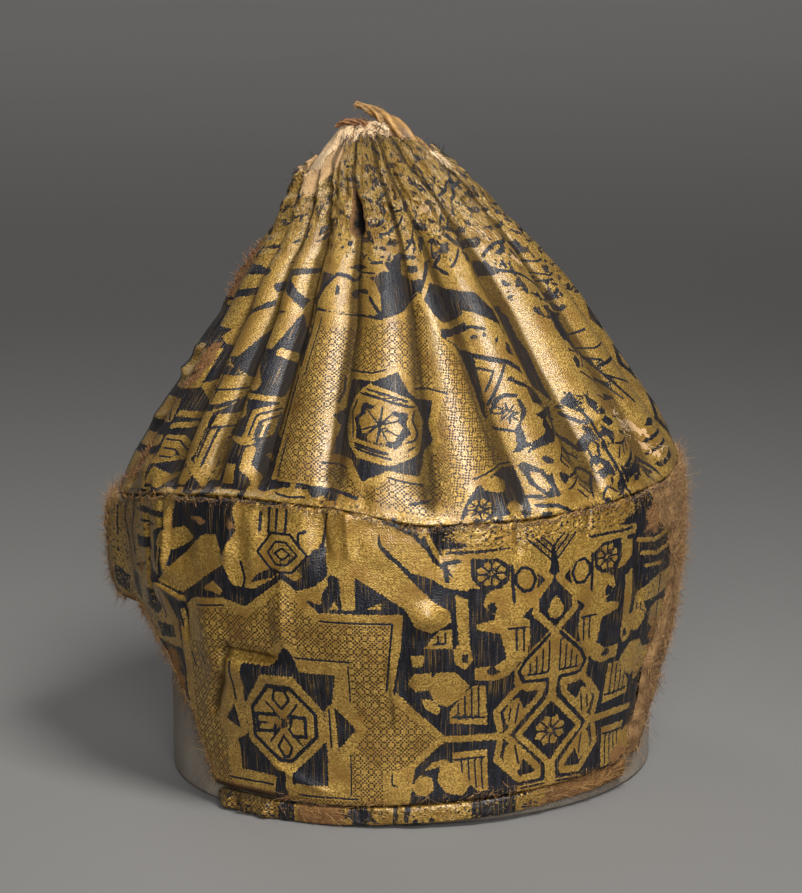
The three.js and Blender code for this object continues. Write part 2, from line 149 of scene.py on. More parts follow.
# Sharp folds of the band: from and to as place round and height, half width, rise
FOLDS = [(-67.5, 63, -71, 51, 3.5, -2.0), (-71, 51, -80, 35, 4.0, -2.2), (-93, 106, -94, 84, 2.6, 2.4),
         (-104, 80, -84, 74.5, 3.0, 1.8), (-8, 63, -6.5, 33, 2.2, -1.5), (-42.5, 94, -42.5, 62, 4.5, 1.3),
         (-28.5, 113, -27, 98, 2.0, -1.5), (10.5, 113, 10, 95, 2.2, -1.5), (-60, 113, -64, 92, 3.5, 2.0),
         (-66, 60, -48, 59, 1.6, -2.0), (-86, 76, -88, 60, 2.4, -1.6), (-20, 113, -19, 96, 3.0, 1.2),
         (37, 113, 36, 96, 2.4, -1.1), (66, 113, 62, 98, 2.6, -1.2), (-100, 112, -98, 98, 2.2, -1.8),
         (-52, 20, -30, 12, 3.0, 1.0), (85, 100, 90, 70, 3.0, -1.4), (-110, 100, -108, 70, 3.0, -2.0)]

# Woven figures: what is painted, width of a stroke, and points round the cap and up the cloth.
# gold, dark and lattice fill a shape; strap is a gold stroke and line a dark one;
# flower is gold petals round a middle, with the petals' length as its width.
FIELD_CHART = [
    # Column at the right side, seen where the back begins
    ("gold", 0, [(115, 58), (116, 106), (128, 106), (129, 58)]),
    ("dark", 0, [(122, 62), (117, 82), (122, 102), (127, 82)]),
    ("gold", 0, [(122, 70), (119, 82), (122, 94), (125, 82)]),
    ("strap", 2.6, [(133, 56), (132, 82), (133, 112)]),
    ("gold", 0, [(-90, 70), (-80, 77), (-66, 79), (-57, 77), (-42, 88.5), (-30, 77.5), (-2, 77.5),
                 (-3.5, 62), (-6, 50), (12.8, 32), (1, 21.5), (-1.5, 7), (-92, 7), (-96, 30),
                 (-92, 48)]),
    ("lattice", 0, [(-86, 68), (-80, 73.5), (-66, 76), (-57, 73.5), (-42, 85.5), (-30, 74.3), (-6, 74),
                    (-8.5, 50), (-7, 46.5), (10, 32.3), (-1, 22), (-10, 19.5), (-10, 7), (-90, 7),
                    (-92, 30), (-88, 50)]),
    ("line", 0.7, [(-79, 74.5), (-66, 76.4)]),
    ("line", 0.8, [(-29.5, 74.6), (-5.6, 74.2), (-8.3, 50)]),
    ("line", 0.8, [(-3.6, 61), (-5.6, 49)]),
    ("line", 0.7, [(-7.2, 19.5), (-7.2, 16), (-6, 15.5)]),
    ("gold", 0, [(-66, 60.5), (-50, 60.5), (-43, 67), (-37, 60.5), (-20.5, 60.5), (-21, 45),
                 (-16, 35.5), (-22, 27), (-22, 10), (-72, 10), (-73, 17), (-74, 26), (-78, 35),
                 (-73, 45), (-71, 56)]),
    ("line", 0.8, [(-66, 61), (-50, 60.2)]),
    ("line", 0.8, [(-40, 60.6), (-20.5, 60.5)]),
    ("line", 0.6, [(-20.8, 59), (-21, 46)]),
    ("line", 0.6, [(-22, 26), (-22.2, 12)]),
    ("line", 0.8, [(-42, 10.5), (-20, 10.4)]),
    ("line", 0.8, [(-74, 12.5), (-50, 13)]),
    ("dark", 0, [(-61, 56.5), (-50, 56.5), (-48, 58), (-43, 64.5), (-41, 63), (-38.5, 55.5),
                 (-25.5, 55.5), (-27.5, 45), (-30.5, 42), (-30.8, 14.5), (-43, 14.5), (-47, 10.5),
                 (-51.5, 16), (-67, 16.5), (-68.5, 27), (-63, 30), (-63, 42)]),
    ("dark", 0, [(-27, 43.5), (-19.5, 35.5), (-26.5, 27.5)]),
    ("line", 0.8, [(-29, 42), (-29, 14)]),
    ("dark", 0, [(-68, 40), (-73, 34), (-66, 31)]),
    ("line", 1.0, [(-66, 56), (-67, 42)]),
    ("gold", 0, [(-53, 53.5), (-41, 53.5), (-31.2, 41.5), (-30.8, 30.5), (-44, 18.3), (-50.5, 18.3),
                 (-62.5, 28), (-62.8, 41)]),
    ("line", 1.6, [(-51.5, 49.3), (-43, 49.3), (-34.3, 40), (-34.3, 32), (-45, 22), (-49.5, 22),
                   (-59.6, 30), (-59.6, 40), (-51.5, 49.3)]),
    ("line", 1.1, [(-47, 41), (-50.3, 44.5), (-49, 48), (-45, 48), (-43.8, 44.5), (-47, 41)]),
    ("line", 1.1, [(-47.5, 31), (-50, 27), (-48, 23.5), (-46, 23.5), (-44.5, 27), (-47.5, 31)]),
    ("line", 1.5, [(-50.5, 38.6), (-58, 38.2), (-58, 32), (-50.5, 32.6), (-50.5, 34.5)]),
    ("line", 1.5, [(-43, 31.5), (-38.3, 31.5), (-38.3, 38.4), (-43.5, 38.6), (-44.3, 35)]),
    ("line", 0.9, [(-58, 35), (-54, 35.3)]),
    ("line", 0.9, [(-53, 43), (-40.5, 28.5)]),
    ("line", 0.9, [(-53, 28.5), (-41, 43)]),
    ("dark", 0, [(-47.8, 37.5), (-45.6, 37.5), (-45, 34.5), (-48.2, 34)]),
    # Hexagon above the field, and the cloth round it
    ("gold", 0, [(-66, 92), (-62, 84), (-53, 84), (-46, 88), (-42, 91), (-38, 88), (-33, 91), (-30, 97),
                 (-29, 104), (-34, 113), (-60, 113), (-60, 103), (-63, 98)]),
    ("dark", 0, [(-54, 86), (-46, 88.5), (-42.5, 91), (-46, 92), (-52, 89)]),
    ("dark", 0, [(-33, 87.5), (-37, 92), (-33, 96.5), (-31, 99.5), (-27.5, 98.5), (-27, 90),
                 (-30, 87.5)]),
    ("line", 1.0, [(-51.5, 97), (-46.5, 103.8), (-39, 103.8), (-32.8, 97), (-38.5, 90.8), (-46, 90.8),
                   (-51.5, 97)]),
    ("line", 0.9, [(-47.6, 97), (-44.5, 101), (-40.5, 101), (-36.4, 97), (-40.5, 93.2), (-44.5, 93.2),
                   (-47.6, 97)]),
    ("line", 0.8, [(-45, 97), (-42, 99), (-39, 97), (-42, 95), (-45, 97)]),
    ("line", 1.2, [(-59, 92), (-57, 87), (-58, 82)]),
    ("line", 1.2, [(-48, 104), (-47, 112)]),
    ("line", 1.1, [(-51, 104), (-50.5, 110)]),
    ("line", 1.1, [(-44.5, 105), (-44, 112)]),
    ("line", 1.1, [(-41, 105), (-40.5, 112)]),
    ("line", 1.1, [(-36, 101), (-36, 104.5), (-31, 106)]),
    # Rolled edge at the left, worn, with dark gaps
    ("gold", 0, [(-170, 56), (-170, 114), (-89, 114), (-91, 104), (-97, 99), (-104, 96), (-99, 84),
                 (-105, 80), (-97, 76), (-92, 66), (-92, 56)]),
    ("dark", 0, [(-106, 114), (-99, 114), (-98, 108), (-104, 108.6)]),
    ("dark", 0, [(-120, 102.8), (-97, 103.6), (-97, 101.6), (-120, 100.4)]),
    ("dark", 0, [(-120, 91.6), (-107, 92.6), (-103, 89.4), (-120, 87.2)]),
    ("dark", 0, [(-111, 85), (-104, 85.4), (-100, 80), (-108, 77.6)]),
    ("dark", 0, [(-114, 73.6), (-106, 73.8), (-101, 69.4), (-106, 65.4), (-114, 66.4)]),
    ("dark", 0, [(-108, 62.8), (-95, 63.6), (-95, 59.4), (-106, 57.4)]),
    ("line", 1.0, [(-116, 97.6), (-104, 98.4)]),
    ("dark", 0, [(-150, 112), (-140, 108), (-136, 112)]),
    ("line", 1.4, [(-124, 104), (-126, 92), (-123, 84)]),
    ("line", 1.2, [(-131, 106), (-134, 94), (-128, 82)]),
    ("line", 1.2, [(-140, 102), (-139, 88)]),
    ("dark", 0, [(-128, 78), (-122, 76), (-124, 66), (-130, 70)]),
    ("dark", 0, [(-142, 76), (-134, 73), (-137, 66), (-144, 68)]),
    ("line", 0.9, [(-122, 80), (-113, 82.6)]),
    ("line", 1.1, [(-101, 78), (-99.6, 66)]),
    # Broad straps beside it
    ("gold", 0, [(-98, 80), (-86, 77.5), (-64.5, 91.5), (-68.5, 100.5), (-74, 100), (-86, 91)]),
    ("gold", 0, [(-100, 92), (-90, 92), (-79, 98), (-85, 101), (-98, 97)]),
    ("gold", 0, [(-75, 81), (-70, 84.5), (-66, 81.5), (-67, 80)]),
    ("strap", 2.0, [(-92, 106), (-91.6, 96), (-94, 84)]),
    ("strap", 0.9, [(-97.6, 95), (-98.6, 82)]),
    ("strap", 2.6, [(-104, 76), (-97, 78), (-86, 75)]),
    ("gold", 0, [(-84.4, 61), (-84.6, 74), (-79, 74.6), (-78.6, 62)]),
    ("line", 1.1, [(-90, 75), (-89.4, 65)]),
    ("line", 0.9, [(-87.4, 74), (-87, 66)]),
    ("line", 1.0, [(-86, 56), (-85.4, 51)]),
    ("line", 0.7, [(-79, 57), (-78.6, 52)]),
    # Leg with toes, and the straps that slope away from it
    ("gold", 0, [(-34, 113), (-8, 113), (-10, 101.5), (-7, 97.5), (-2.5, 93.5), (2, 88), (8, 81.5),
                 (13, 78.5), (13.5, 74.5), (7, 71), (2, 73), (-1, 79), (-5, 82), (-17.5, 90.5),
                 (-17.5, 79), (-22, 79), (-22.5, 90), (-25.5, 91), (-31, 86.5), (-37, 84.5),
                 (-37, 81.5), (-34, 81.5), (-29, 80.5), (-28.3, 85), (-26.5, 87), (-26.5, 93),
                 (-27.5, 100), (-33, 104)]),
    ("gold", 0, [(-26, 79), (-24.5, 81.5), (-23, 79)]),
    ("gold", 0, [(-14.5, 79.5), (-9, 81.5), (-9, 79.5)]),
    ("line", 0.9, [(-26.5, 112), (-28, 104), (-28.6, 98)]),
    ("gold", 0, [(-10, 109), (-4, 107), (1, 104.5), (6, 99), (8, 95), (12, 91.5), (16, 88),
                 (20.5, 86.8), (19, 85), (12, 86.5), (7, 90), (1, 92), (-4, 97), (-8.5, 101.5)]),
    ("strap", 1.6, [(5, 107), (8.5, 99), (11, 95)]),
    ("strap", 1.4, [(3, 110), (4, 104.5)]),
    # Small figures beside the field's point
    ("line", 0.8, [(14.6, 84), (14.6, 68)]),
    ("gold", 0, [(-1, 52), (1, 56), (7, 56.5), (6, 50), (2, 49.5)]),
    ("gold", 0, [(0, 62.5), (4.5, 63), (4.5, 59), (1, 58.5)]),
    ("gold", 0, [(0, 15), (2.5, 19), (7, 18), (8, 14), (5, 11.5), (1.5, 12)]),
]
# Torn figures past the tree, at the right edge of the band
EDGE_CHART = [
    ("strap", 2.8, [(-45.8, 18), (-46, 12.6), (-29, 12.8), (-28.6, 27)]),
    ("dark", 0, [(-52.6, 4), (-46, 4), (-46.8, 10), (-48.4, 16), (-51, 17), (-52.4, 11)]),
    ("gold", 0, [(86, 73), (92, 75.4), (104, 78), (116, 78), (116, 71), (104, 70), (94, 70)]),
    ("gold", 0, [(84, 67), (90, 68), (95, 64), (90, 60), (85, 62)]),
    ("gold", 0, [(98, 66), (104, 68), (116, 66), (116, 60), (103, 58), (98, 61)]),
    ("line", 1.0, [(104, 77), (105, 60)]),
    ("gold", 0, [(84, 50), (90, 54), (96, 53), (104, 52), (106, 46), (96, 44), (88, 45)]),
    ("strap", 1.6, [(88, 93), (98, 91), (112, 92)]),
    ("strap", 1.6, [(90, 88), (100, 86), (114, 87)]),
    ("strap", 1.2, [(92, 83), (104, 81.6)]),
]
TREE_AXIS = {"foot": 53.4, "lean": -0.046}
# Figures on both sides of the tree: distance from its axis instead of place round the cap
TREE_CHART = [
    ("gold", 0, [(0, 101.5), (14, 101.5), (38, 99), (38, 96.5), (34, 88), (30, 86), (20, 84), (22, 74),
                 (10, 77), (4, 84), (2, 88)]),
    ("dark", 0, [(14.5, 98), (36.5, 97.4), (36.5, 98.6), (14.5, 99)]),
    ("line", 1.6, [(37, 89), (37.5, 94.5), (33, 95.2)]),
    ("dark", 0, [(29.2, 96), (20, 95.5), (15.5, 92.5), (16.5, 87), (20, 84.5), (26, 85), (29.2, 89)]),
    ("flower", 5.4, [(22.3, 90.3)]),
    ("line", 0.8, [(0, 92), (9, 100.5)]),
    ("line", 0.8, [(0, 94.6), (6.2, 100.5)]),
    ("line", 0.8, [(0, 97.2), (3.5, 100.5)]),
    ("line", 1.2, [(3.4, 88.5), (13, 97.5)]),
    ("line", 1.2, [(14, 89), (12, 91.4), (8.8, 91), (7, 87), (8.5, 83.4), (11.5, 83), (14, 86),
                   (14, 89)]),
    ("line", 1.3, [(15.2, 92), (15, 80)]),
    ("dark", 0, [(5, 90.5), (7.6, 91), (6, 87), (6.6, 83.5), (4.2, 85), (3.5, 87.5)]),
    ("dark", 0, [(20, 73), (30, 73), (30, 84), (26, 83), (25, 77)]),
    ("gold", 0, [(16, 80), (17.5, 84), (21, 85), (24.5, 83), (25.5, 79.5), (22.5, 76), (18.5, 75.5)]),
    ("dark", 0, [(20.8, 78), (22, 80.6), (24.4, 79.4), (23.8, 76.8), (21.6, 76.4)]),
    ("strap", 2.4, [(13, 98), (6, 90), (1.6, 86.6), (4.2, 83.5), (7.6, 80), (7.8, 75), (1.4, 68.6)]),
    ("dark", 0, [(0, 86.6), (2.7, 83), (0, 79.6)]),
    ("dark", 0, [(0, 81.5), (4.2, 81), (6, 79), (6, 75.4), (0, 70), (-0.5, 76)]),
    ("gold", 0, [(-0.6, 80), (1.2, 79), (3.4, 75.6), (2.4, 73), (-0.6, 72)]),
    ("strap", 3.0, [(8, 80), (13, 76), (18, 73)]),
    ("line", 1.2, [(9.2, 76.5), (15, 71.5)]),
    ("gold", 0, [(10, 73), (15, 75.5), (28, 73), (28, 71), (20, 69), (18, 60), (22, 57.5), (29, 57.5),
                 (29, 53), (21, 52.2), (17, 54), (11, 61), (9.5, 66)]),
    ("line", 0.8, [(12, 70.5), (12, 62.5)]),
    ("line", 0.8, [(14.6, 70.5), (14.6, 63)]),
    ("line", 0.8, [(17.2, 70.5), (11, 70.5)]),
    ("dark", 0, [(20, 55), (23, 57.8), (25, 55.5), (23, 54)]),
    ("gold", 0, [(-1, 68.5), (2, 68.5), (10, 61.5), (15, 56), (15, 50), (10.5, 47), (3, 47),
                 (2.4, 43.5), (-1, 43.5)]),
    ("line", 1.5, [(2.4, 66.6), (11.4, 58.6), (13.6, 54.5), (11.5, 50.5), (2.6, 50.4), (2.3, 45)]),
    ("line", 0.8, [(2.3, 64), (2.3, 53)]),
    ("line", 0.9, [(2.5, 53), (10, 53)]),
    ("line", 0.7, [(4.8, 53), (4.8, 61.5)]),
    ("line", 0.7, [(7.2, 53), (7.2, 59.2)]),
    ("line", 0.7, [(9.6, 53), (9.6, 57)]),
    ("strap", 2.3, [(11.5, 48.8), (4.6, 48.3), (5.2, 44.5), (17.5, 32)]),
    ("strap", 2.2, [(0, 43.6), (13, 31), (0, 18.6)]),
    ("flower", 6.8, [(0, 31)]),
    ("strap", 2.4, [(13.5, 48.5), (21.5, 40.5), (20, 34)]),
    ("strap", 2.4, [(12, 15), (5, 15.5), (5.2, 18), (17.5, 31)]),
    ("strap", 2.4, [(13, 15), (21.5, 23), (20, 29)]),
    ("gold", 0, [(10.5, 38.5), (13, 45), (16.5, 43.5), (18.8, 40), (17.5, 35.5), (14, 34)]),
    ("gold", 0, [(10.5, 24.5), (13, 18), (16.5, 19.5), (18.8, 23), (17.5, 27.5), (14, 29)]),
    ("line", 0.8, [(13, 42), (14, 36)]),
    ("line", 0.8, [(16, 41), (16.6, 37)]),
    ("line", 0.8, [(13, 21), (14, 27)]),
    ("gold", 0, [(-1, 19.5), (2, 19.5), (2.4, 13), (14, 12.5), (14, 10.5), (-1, 10)]),
    ("line", 0.9, [(3, 12), (12, 11.6)]),
    ("strap", 2.4, [(19, 31.4), (40, 32)]),
    # Box of comb teeth above the strap, and its reflection below
    ("gold", 0, [(38, 42), (30, 50.8), (25.5, 50.8), (24.6, 36.2), (38.2, 37.6)]),
    ("line", 0.8, [(26, 39), (37, 39.6)]),
    ("line", 0.7, [(35, 39), (35, 44.5)]),
    ("line", 0.7, [(32.6, 39), (32.6, 47)]),
    ("line", 0.7, [(30.2, 39), (30.2, 49.5)]),
    ("line", 0.7, [(27.8, 39), (27.8, 50.5)]),
    ("gold", 0, [(37, 21.5), (29, 12.5), (25, 12.5), (25, 27.2), (38, 27)]),
    ("line", 0.8, [(26, 24.6), (37, 24.2)]),
    ("line", 0.7, [(34.5, 24.5), (34.5, 19.5)]),
    ("line", 0.7, [(32, 24.5), (32, 16.5)]),
    ("line", 0.7, [(29.6, 24.5), (29.6, 14)]),
    ("line", 0.7, [(27.2, 24.5), (27.2, 13.5)]),
    ("gold", 0, [(46, 52.5), (42, 56.5), (36, 56.5), (31, 51), (34, 46.5), (39, 43.8), (43, 46)]),
    ("gold", 0, [(43.5, 17), (42, 22.5), (38.5, 23.5), (31.5, 15.5), (34.5, 11.5), (41, 12.5)]),
    ("gold", 0, [(48, 47.2), (44.5, 46.6), (41, 43.4), (42.4, 41), (46, 43)]),
    ("gold", 0, [(48, 20.6), (45, 23.6), (40, 24.6), (38, 23), (42.6, 22)]),
    # Hooks and a small comb above them
    ("gold", 0, [(34.8, 84), (30.6, 82), (30.6, 66), (29.6, 60.5), (32, 57), (35.6, 59), (36.2, 64.5),
                 (34.2, 66)]),
    ("dark", 0, [(31, 62.4), (33.2, 62.6), (33.4, 60), (31.4, 59.4)]),
    ("gold", 0, [(45.8, 65.4), (40.6, 71.8), (36.4, 72), (36.4, 65)]),
    ("line", 0.8, [(38.6, 70.5), (38.6, 66.8), (42.6, 66.8)]),
    ("line", 0.7, [(41, 69.5), (41, 66.8)]),
]
CROWN_CHART = [
    # Ground: gold above and on the ribs, where dark figures lie on it
    ("gold", 0, [(-200, 91), (-50, 92), (-28, 90), (-15, 92), (-3, 96), (8, 92), (13, 93), (30, 88),
                 (44, 87), (52, 80), (60, 79), (200, 76), (200, 200), (-200, 200)]),
    # Cross-shaped field, its dotted part and its borders
    ("gold", 0, [(-50.5, 7.5), (-50.5, 77), (-28, 75), (-12, 76.5), (0, 80), (9.5, 87.5), (12, 88),
                 (19, 73), (20, 70), (29.5, 64.5), (33, 48), (35.5, 38), (41, 21), (33, 18.5),
                 (24, 14.5), (20, 10), (16.5, 1), (-22, 3), (-26, 7)]),
    ("lattice", 0, [(-49.5, 9), (-49.5, 25), (-49.5, 50), (-45.5, 55), (-45.5, 71), (-28, 70),
                    (-12, 74.5), (0, 77.5), (10, 85), (17, 72), (28, 61), (31, 45), (33, 37), (38, 22),
                    (23, 18.5), (17, 3), (-22, 5), (-26, 9)]),
    ("line", 1.5, [(-50, 76.8), (-40, 76.9), (-28, 74.6), (-22, 75.6), (-12, 76.2)]),
    ("line", 1.4, [(-51.3, 77), (-51.3, 7)]),
    ("line", 0.9, [(-45.6, 73.5), (-46.8, 51)]),
    ("line", 0.8, [(-47.6, 25), (-47.6, 10)]),
    ("line", 1.5, [(-50, 7.4), (-38, 7.8), (-27, 6.4), (-14, 5.4)]),
    ("line", 0.9, [(-12, 76.4), (0, 80.2), (9.5, 87)]),
    ("line", 1.4, [(19.6, 71), (27, 66.4), (30, 62), (32.6, 50), (34.2, 39)]),
    ("line", 0.8, [(36, 36), (39.6, 21.8), (23.6, 17.4)]),
    ("gold", 0, [(-26.5, 52.8), (-15, 54.4), (-3.5, 60.2), (4.5, 51.2), (17, 49.8), (14.6, 46.6),
                 (11.8, 37), (13.2, 31.5), (8.6, 26.4), (7, 15.3), (-6, 16.8), (-16, 9), (-22.5, 16),
                 (-32, 17.2), (-31, 30), (-34.6, 35.5), (-28.6, 40), (-28.6, 50)]),
    ("line", 0.8, [(-26.5, 53), (-15, 54.5), (-9, 57)]),
    ("line", 0.8, [(4.5, 50.6), (10, 51.4), (18, 49.6)]),
    ("line", 0.8, [(-31.5, 17), (-22.5, 15.6)]),
    ("line", 0.8, [(-6.5, 16.6), (5.5, 15)]),
    ("line", 1.0, [(-28.6, 50), (-28.2, 45), (-29.5, 40.6)]),
    ("line", 1.1, [(1, 7.8), (7, 9)]),
    ("dark", 0, [(-25.5, 50), (-14.5, 51.5), (-3.5, 57), (1.3, 49.8), (4.7, 47), (11.5, 47), (9, 37.5),
                 (10.6, 31.6), (6.8, 27.5), (4.8, 18.2), (-6.5, 19.4), (-16, 12.3), (-20.5, 19.3),
                 (-29.5, 20), (-28.2, 28.5), (-27.6, 31), (-31, 35.4), (-26, 38.4)]),
    ("gold", 0, [(-15.5, 50.3), (-6, 49.3), (2, 46.9), (4.5, 44.5), (7, 38.5), (6.2, 33), (5, 27),
                 (1, 24.5), (-6, 21), (-19, 21), (-22.5, 25), (-24.5, 30.5), (-24.2, 38), (-22.3, 43.5),
                 (-18.5, 48)]),
    ("line", 0.9, [(-16.5, 47.9), (-8, 47.6), (0.6, 46.2)]),
    ("line", 1.0, [(-19.2, 45.7), (-10, 45.6), (3, 43.8)]),
    ("line", 0.9, [(-20, 26), (-7.4, 25.6)]),
    ("line", 1.0, [(-19.6, 24.2), (-6, 23.6)]),
    ("line", 0.8, [(-21, 42.4), (-22.8, 37.5), (-21.9, 33), (-21.2, 28)]),
    ("line", 0.9, [(3.4, 42), (2.6, 39), (4.6, 34), (3.4, 31.4), (0.4, 30.6)]),
    ("line", 0.8, [(0.6, 27.6), (3, 29)]),
    ("dark", 0, [(-18.2, 42.8), (-5, 41.9), (1.2, 41.6), (0, 37.5), (2.2, 34), (-0.5, 32), (-2, 30),
                 (-3.6, 27.8), (-20, 28), (-20, 32), (-21.6, 35), (-19, 38.5)]),
    ("gold", 0, [(-13, 42.3), (-5.5, 41.8), (-6, 40.2), (-3, 39.8), (-3.4, 38), (-1, 36), (-3.4, 32.5),
                 (-4.5, 30.2), (-7.4, 30.2), (-8, 28.8), (-15.2, 28.8), (-14.8, 31), (-17.5, 31),
                 (-19.3, 35.5), (-16.5, 38.5), (-16.3, 40.6), (-13.6, 40.8)]),
    ("line", 0.9, [(-9.6, 42.5), (-11.2, 28.5)]),
    ("line", 0.7, [(-15.6, 40), (-10.7, 35.6), (-6, 40.4)]),
    ("line", 0.7, [(-17.6, 32), (-10.7, 35.6), (-3, 38.4)]),
    ("line", 0.7, [(-15, 31), (-10.7, 35.6), (-7.4, 30.4)]),
    ("line", 0.7, [(-10.7, 35.6), (-3, 32.6)]),
    # Strip between the cross and the seam
    ("gold", 0, [(-48, -2), (-48, 4), (-44, 6), (-41.6, 6), (-41.4, 8), (-40, 8), (-39.6, 6), (-35, 6),
                 (-33, 3), (-33, -2)]),
    ("line", 0.9, [(-47, 3.2), (-42, 2.4), (-36, 2.8)]),
    ("gold", 0, [(-25, -2), (-24, 5.4), (-22.8, 5.4), (-22.6, -2)]),
    ("gold", 0, [(-21.6, -2), (-21.6, 1.6), (-16, 2.4), (-9, 1.6), (-9, -2)]),
    ("gold", 0, [(-17, 4.2), (-16, 6), (-10, 5.4), (-9.6, 4)]),
    ("gold", 0, [(-9, 0.6), (-6.6, 4.2), (-4, 4.6), (-5, 2), (-7, 0)]),
    ("gold", 0, [(-4, -2), (-2, 2), (7.6, 3), (8, 1), (2, -2)]),
    ("gold", 0, [(9.4, -2), (9.6, 9), (11.4, 9), (11.2, -2)]),
    # Hill above the cross, and the worn figures above that
    ("gold", 0, [(-50, 77.6), (-51, 80), (-46, 87), (-40, 91), (-32, 91.5), (-28, 89.5), (-19, 91),
                 (-15, 90), (-12, 86), (-11.5, 80), (-13, 77.2), (-28, 75.5)]),
    ("line", 1.6, [(-51, 80), (-47, 86), (-40, 91.6), (-34, 90.6), (-30.2, 88.4), (-26, 90.4)]),
    ("dark", 0, [(-39.6, 87), (-37.4, 87), (-36.8, 83.4), (-39.2, 83)]),
    ("dark", 0, [(-32, 83), (-29, 85), (-20.4, 86.4), (-18.6, 84.4), (-23, 84), (-27, 84), (-26.6, 82),
                 (-29, 81)]),
    ("line", 2.2, [(-18, 83), (-12.4, 77.6)]),
    ("dark", 0, [(-37, 94), (-31, 93.4), (-29, 92), (-21, 94.8), (-24, 95.6), (-31, 94.8)]),
    ("line", 0.8, [(-29, 92.2), (-24, 92.4), (-15, 93.3)]),
    ("dark", 0, [(-15, 93), (-9, 95), (-5, 94.6), (-3.5, 91), (-8, 92.4)]),
    ("line", 1.2, [(-18, 97), (-10, 98.2), (-5, 99.4)]),
    ("dark", 0, [(-9, 99), (-5, 98.4), (-1, 101.6), (3, 102.4), (14.5, 101.4), (12, 100), (4, 100.4),
                 (2.4, 98.6), (1.6, 93), (8.4, 92.4), (8, 91), (-3, 91), (-5, 95), (-8, 96.6)]),
    ("dark", 0, [(6, 95.2), (6.6, 98), (13.4, 97.6), (13, 95.6), (9, 94.8)]),
    ("dark", 0, [(-15, 89.5), (-8, 89), (-3, 91), (7.4, 91), (8.4, 88.6), (3, 84), (-2, 81.6), (-6, 81),
                 (-10, 83.4), (-13, 87)]),
    ("dark", 0, [(11, 87.6), (20, 99.6), (23, 99), (16, 90), (24, 88.6), (34, 88), (42, 86.4),
                 (48, 82.6), (46, 81), (40, 82), (30, 80), (24, 80.4), (17, 83), (13, 86)]),
    ("strap", 2.4, [(11.5, 86), (15.8, 78.5), (19.6, 75), (27, 73.8), (33, 76.6), (38, 78.6),
                    (43, 76)]),
    ("strap", 2.2, [(13, 86.4), (17.4, 91), (22.6, 96)]),
    ("dark", 0, [(-20, 113.6), (-12.4, 112.6), (-8, 115), (-3, 115.6), (-7, 113), (-12, 111.4),
                 (-20, 111.4)]),
    ("line", 1.1, [(-10, 109.2), (-4, 109.8), (1, 112.4), (5, 112.6), (11.6, 117)]),
    ("dark", 0, [(-11, 121.4), (-6, 123), (-2, 122.6), (-5, 121), (-9, 120.6)]),
    ("dark", 0, [(-6, 124.6), (5, 126.4), (2, 124.4), (-3, 123.6)]),
    ("dark", 0, [(-11, 130), (-5, 130.6), (8, 129.6), (10, 128.6), (0, 128.8), (-6, 128)]),
    ("line", 0.9, [(6, 118.6), (13, 119.4)]),
    ("dark", 0, [(14, 119), (17, 123), (21, 122.6), (20, 119.6), (17, 118)]),
    ("dark", 0, [(17.6, 112.6), (22, 114), (30, 113.6), (30, 110.6), (20, 110.8)]),
    ("line", 1.2, [(7, 104), (12, 106.4), (18, 111.4)]),
    ("dark", 0, [(19, 108), (25, 108.4), (24, 106), (20, 106.4)]),
    ("dark", 0, [(-14, 136.6), (-8, 137), (3, 135.6), (-2, 133.2), (-5, 134.6)]),
    ("dark", 0, [(-40, 136), (-33, 135.6), (-32, 134.6), (-40, 134.6)]),
    ("dark", 0, [(-46, 130.4), (-30, 130.8), (-26, 132.2), (-25.6, 130.6), (-29, 129.4), (-46, 129)]),
    ("dark", 0, [(-32, 127), (-26, 127), (-26, 126), (-31, 126.2)]),
    ("dark", 0, [(15, 136), (22, 138), (30, 137), (24, 135.4), (17, 134.8)]),
    # Panel at the right side, half of it on each side of the join with the back
    ("gold", 0, [(137, 2), (135, 40), (136, 76), (156, 76), (156, 2)]),
    ("line", 1.1, [(140, 4), (138.6, 40), (139.4, 73)]),
    ("dark", 0, [(156, 5), (152.4, 6), (144, 18), (152.4, 30), (156, 30)]),
    ("gold", 0, [(156, 11), (152.4, 12), (148, 18), (152.4, 24), (156, 24)]),
    ("dark", 0, [(156, 33), (152.4, 34), (145, 43), (152.4, 52), (156, 52)]),
    ("gold", 0, [(156, 38), (152.4, 39), (149, 43), (152.4, 47), (156, 47)]),
    ("dark", 0, [(156, 55), (152.4, 56), (147, 63), (152.4, 70), (156, 70)]),
    # Between the cross and the ribs at the left
    ("gold", 0, [(-61, 96), (-52, 97), (-51.8, 84), (-57, 79.5), (-61, 82), (-63, 90)]),
    ("gold", 0, [(-62, 79), (-52, 78), (-52, 66), (-60, 68), (-62, 74)]),
    ("line", 1.0, [(-58.5, 76), (-54, 75.6)]),
    ("line", 1.0, [(-57.5, 73.4), (-53.5, 72.8)]),
    ("line", 1.2, [(-57, 70), (-52.6, 69)]),
    ("strap", 3.0, [(-65, 58.5), (-58, 55), (-52, 51)]),
    ("gold", 0, [(-57, 52), (-52, 50), (-52, 24), (-56, 25), (-58, 40)]),
    ("line", 1.0, [(-54.6, 48), (-55, 27)]),
    ("strap", 2.0, [(-80, 41.4), (-66, 40.2), (-58, 38.4)]),
    ("gold", 0, [(-67, 24), (-67, 35), (-58, 37), (-57.6, 24)]),
    ("line", 1.0, [(-64.8, 24.6), (-64.8, 33), (-58, 34.8)]),
    ("line", 1.0, [(-62.2, 24.6), (-62.2, 30.4), (-57.8, 32)]),
    ("line", 1.0, [(-59.8, 24.6), (-59.8, 28.4)]),
    ("gold", 0, [(-75, 24.6), (-64, 24), (-61, 21.4), (-66, 21), (-70, 22.4)]),
    ("strap", 3.4, [(-62.4, 19), (-62.4, 12), (-57.4, 7), (-57, 1)]),
    ("gold", 0, [(-57.8, 17), (-53, 16.4), (-53.2, 13.8), (-56, 14.4)]),
    # Ribs at the left
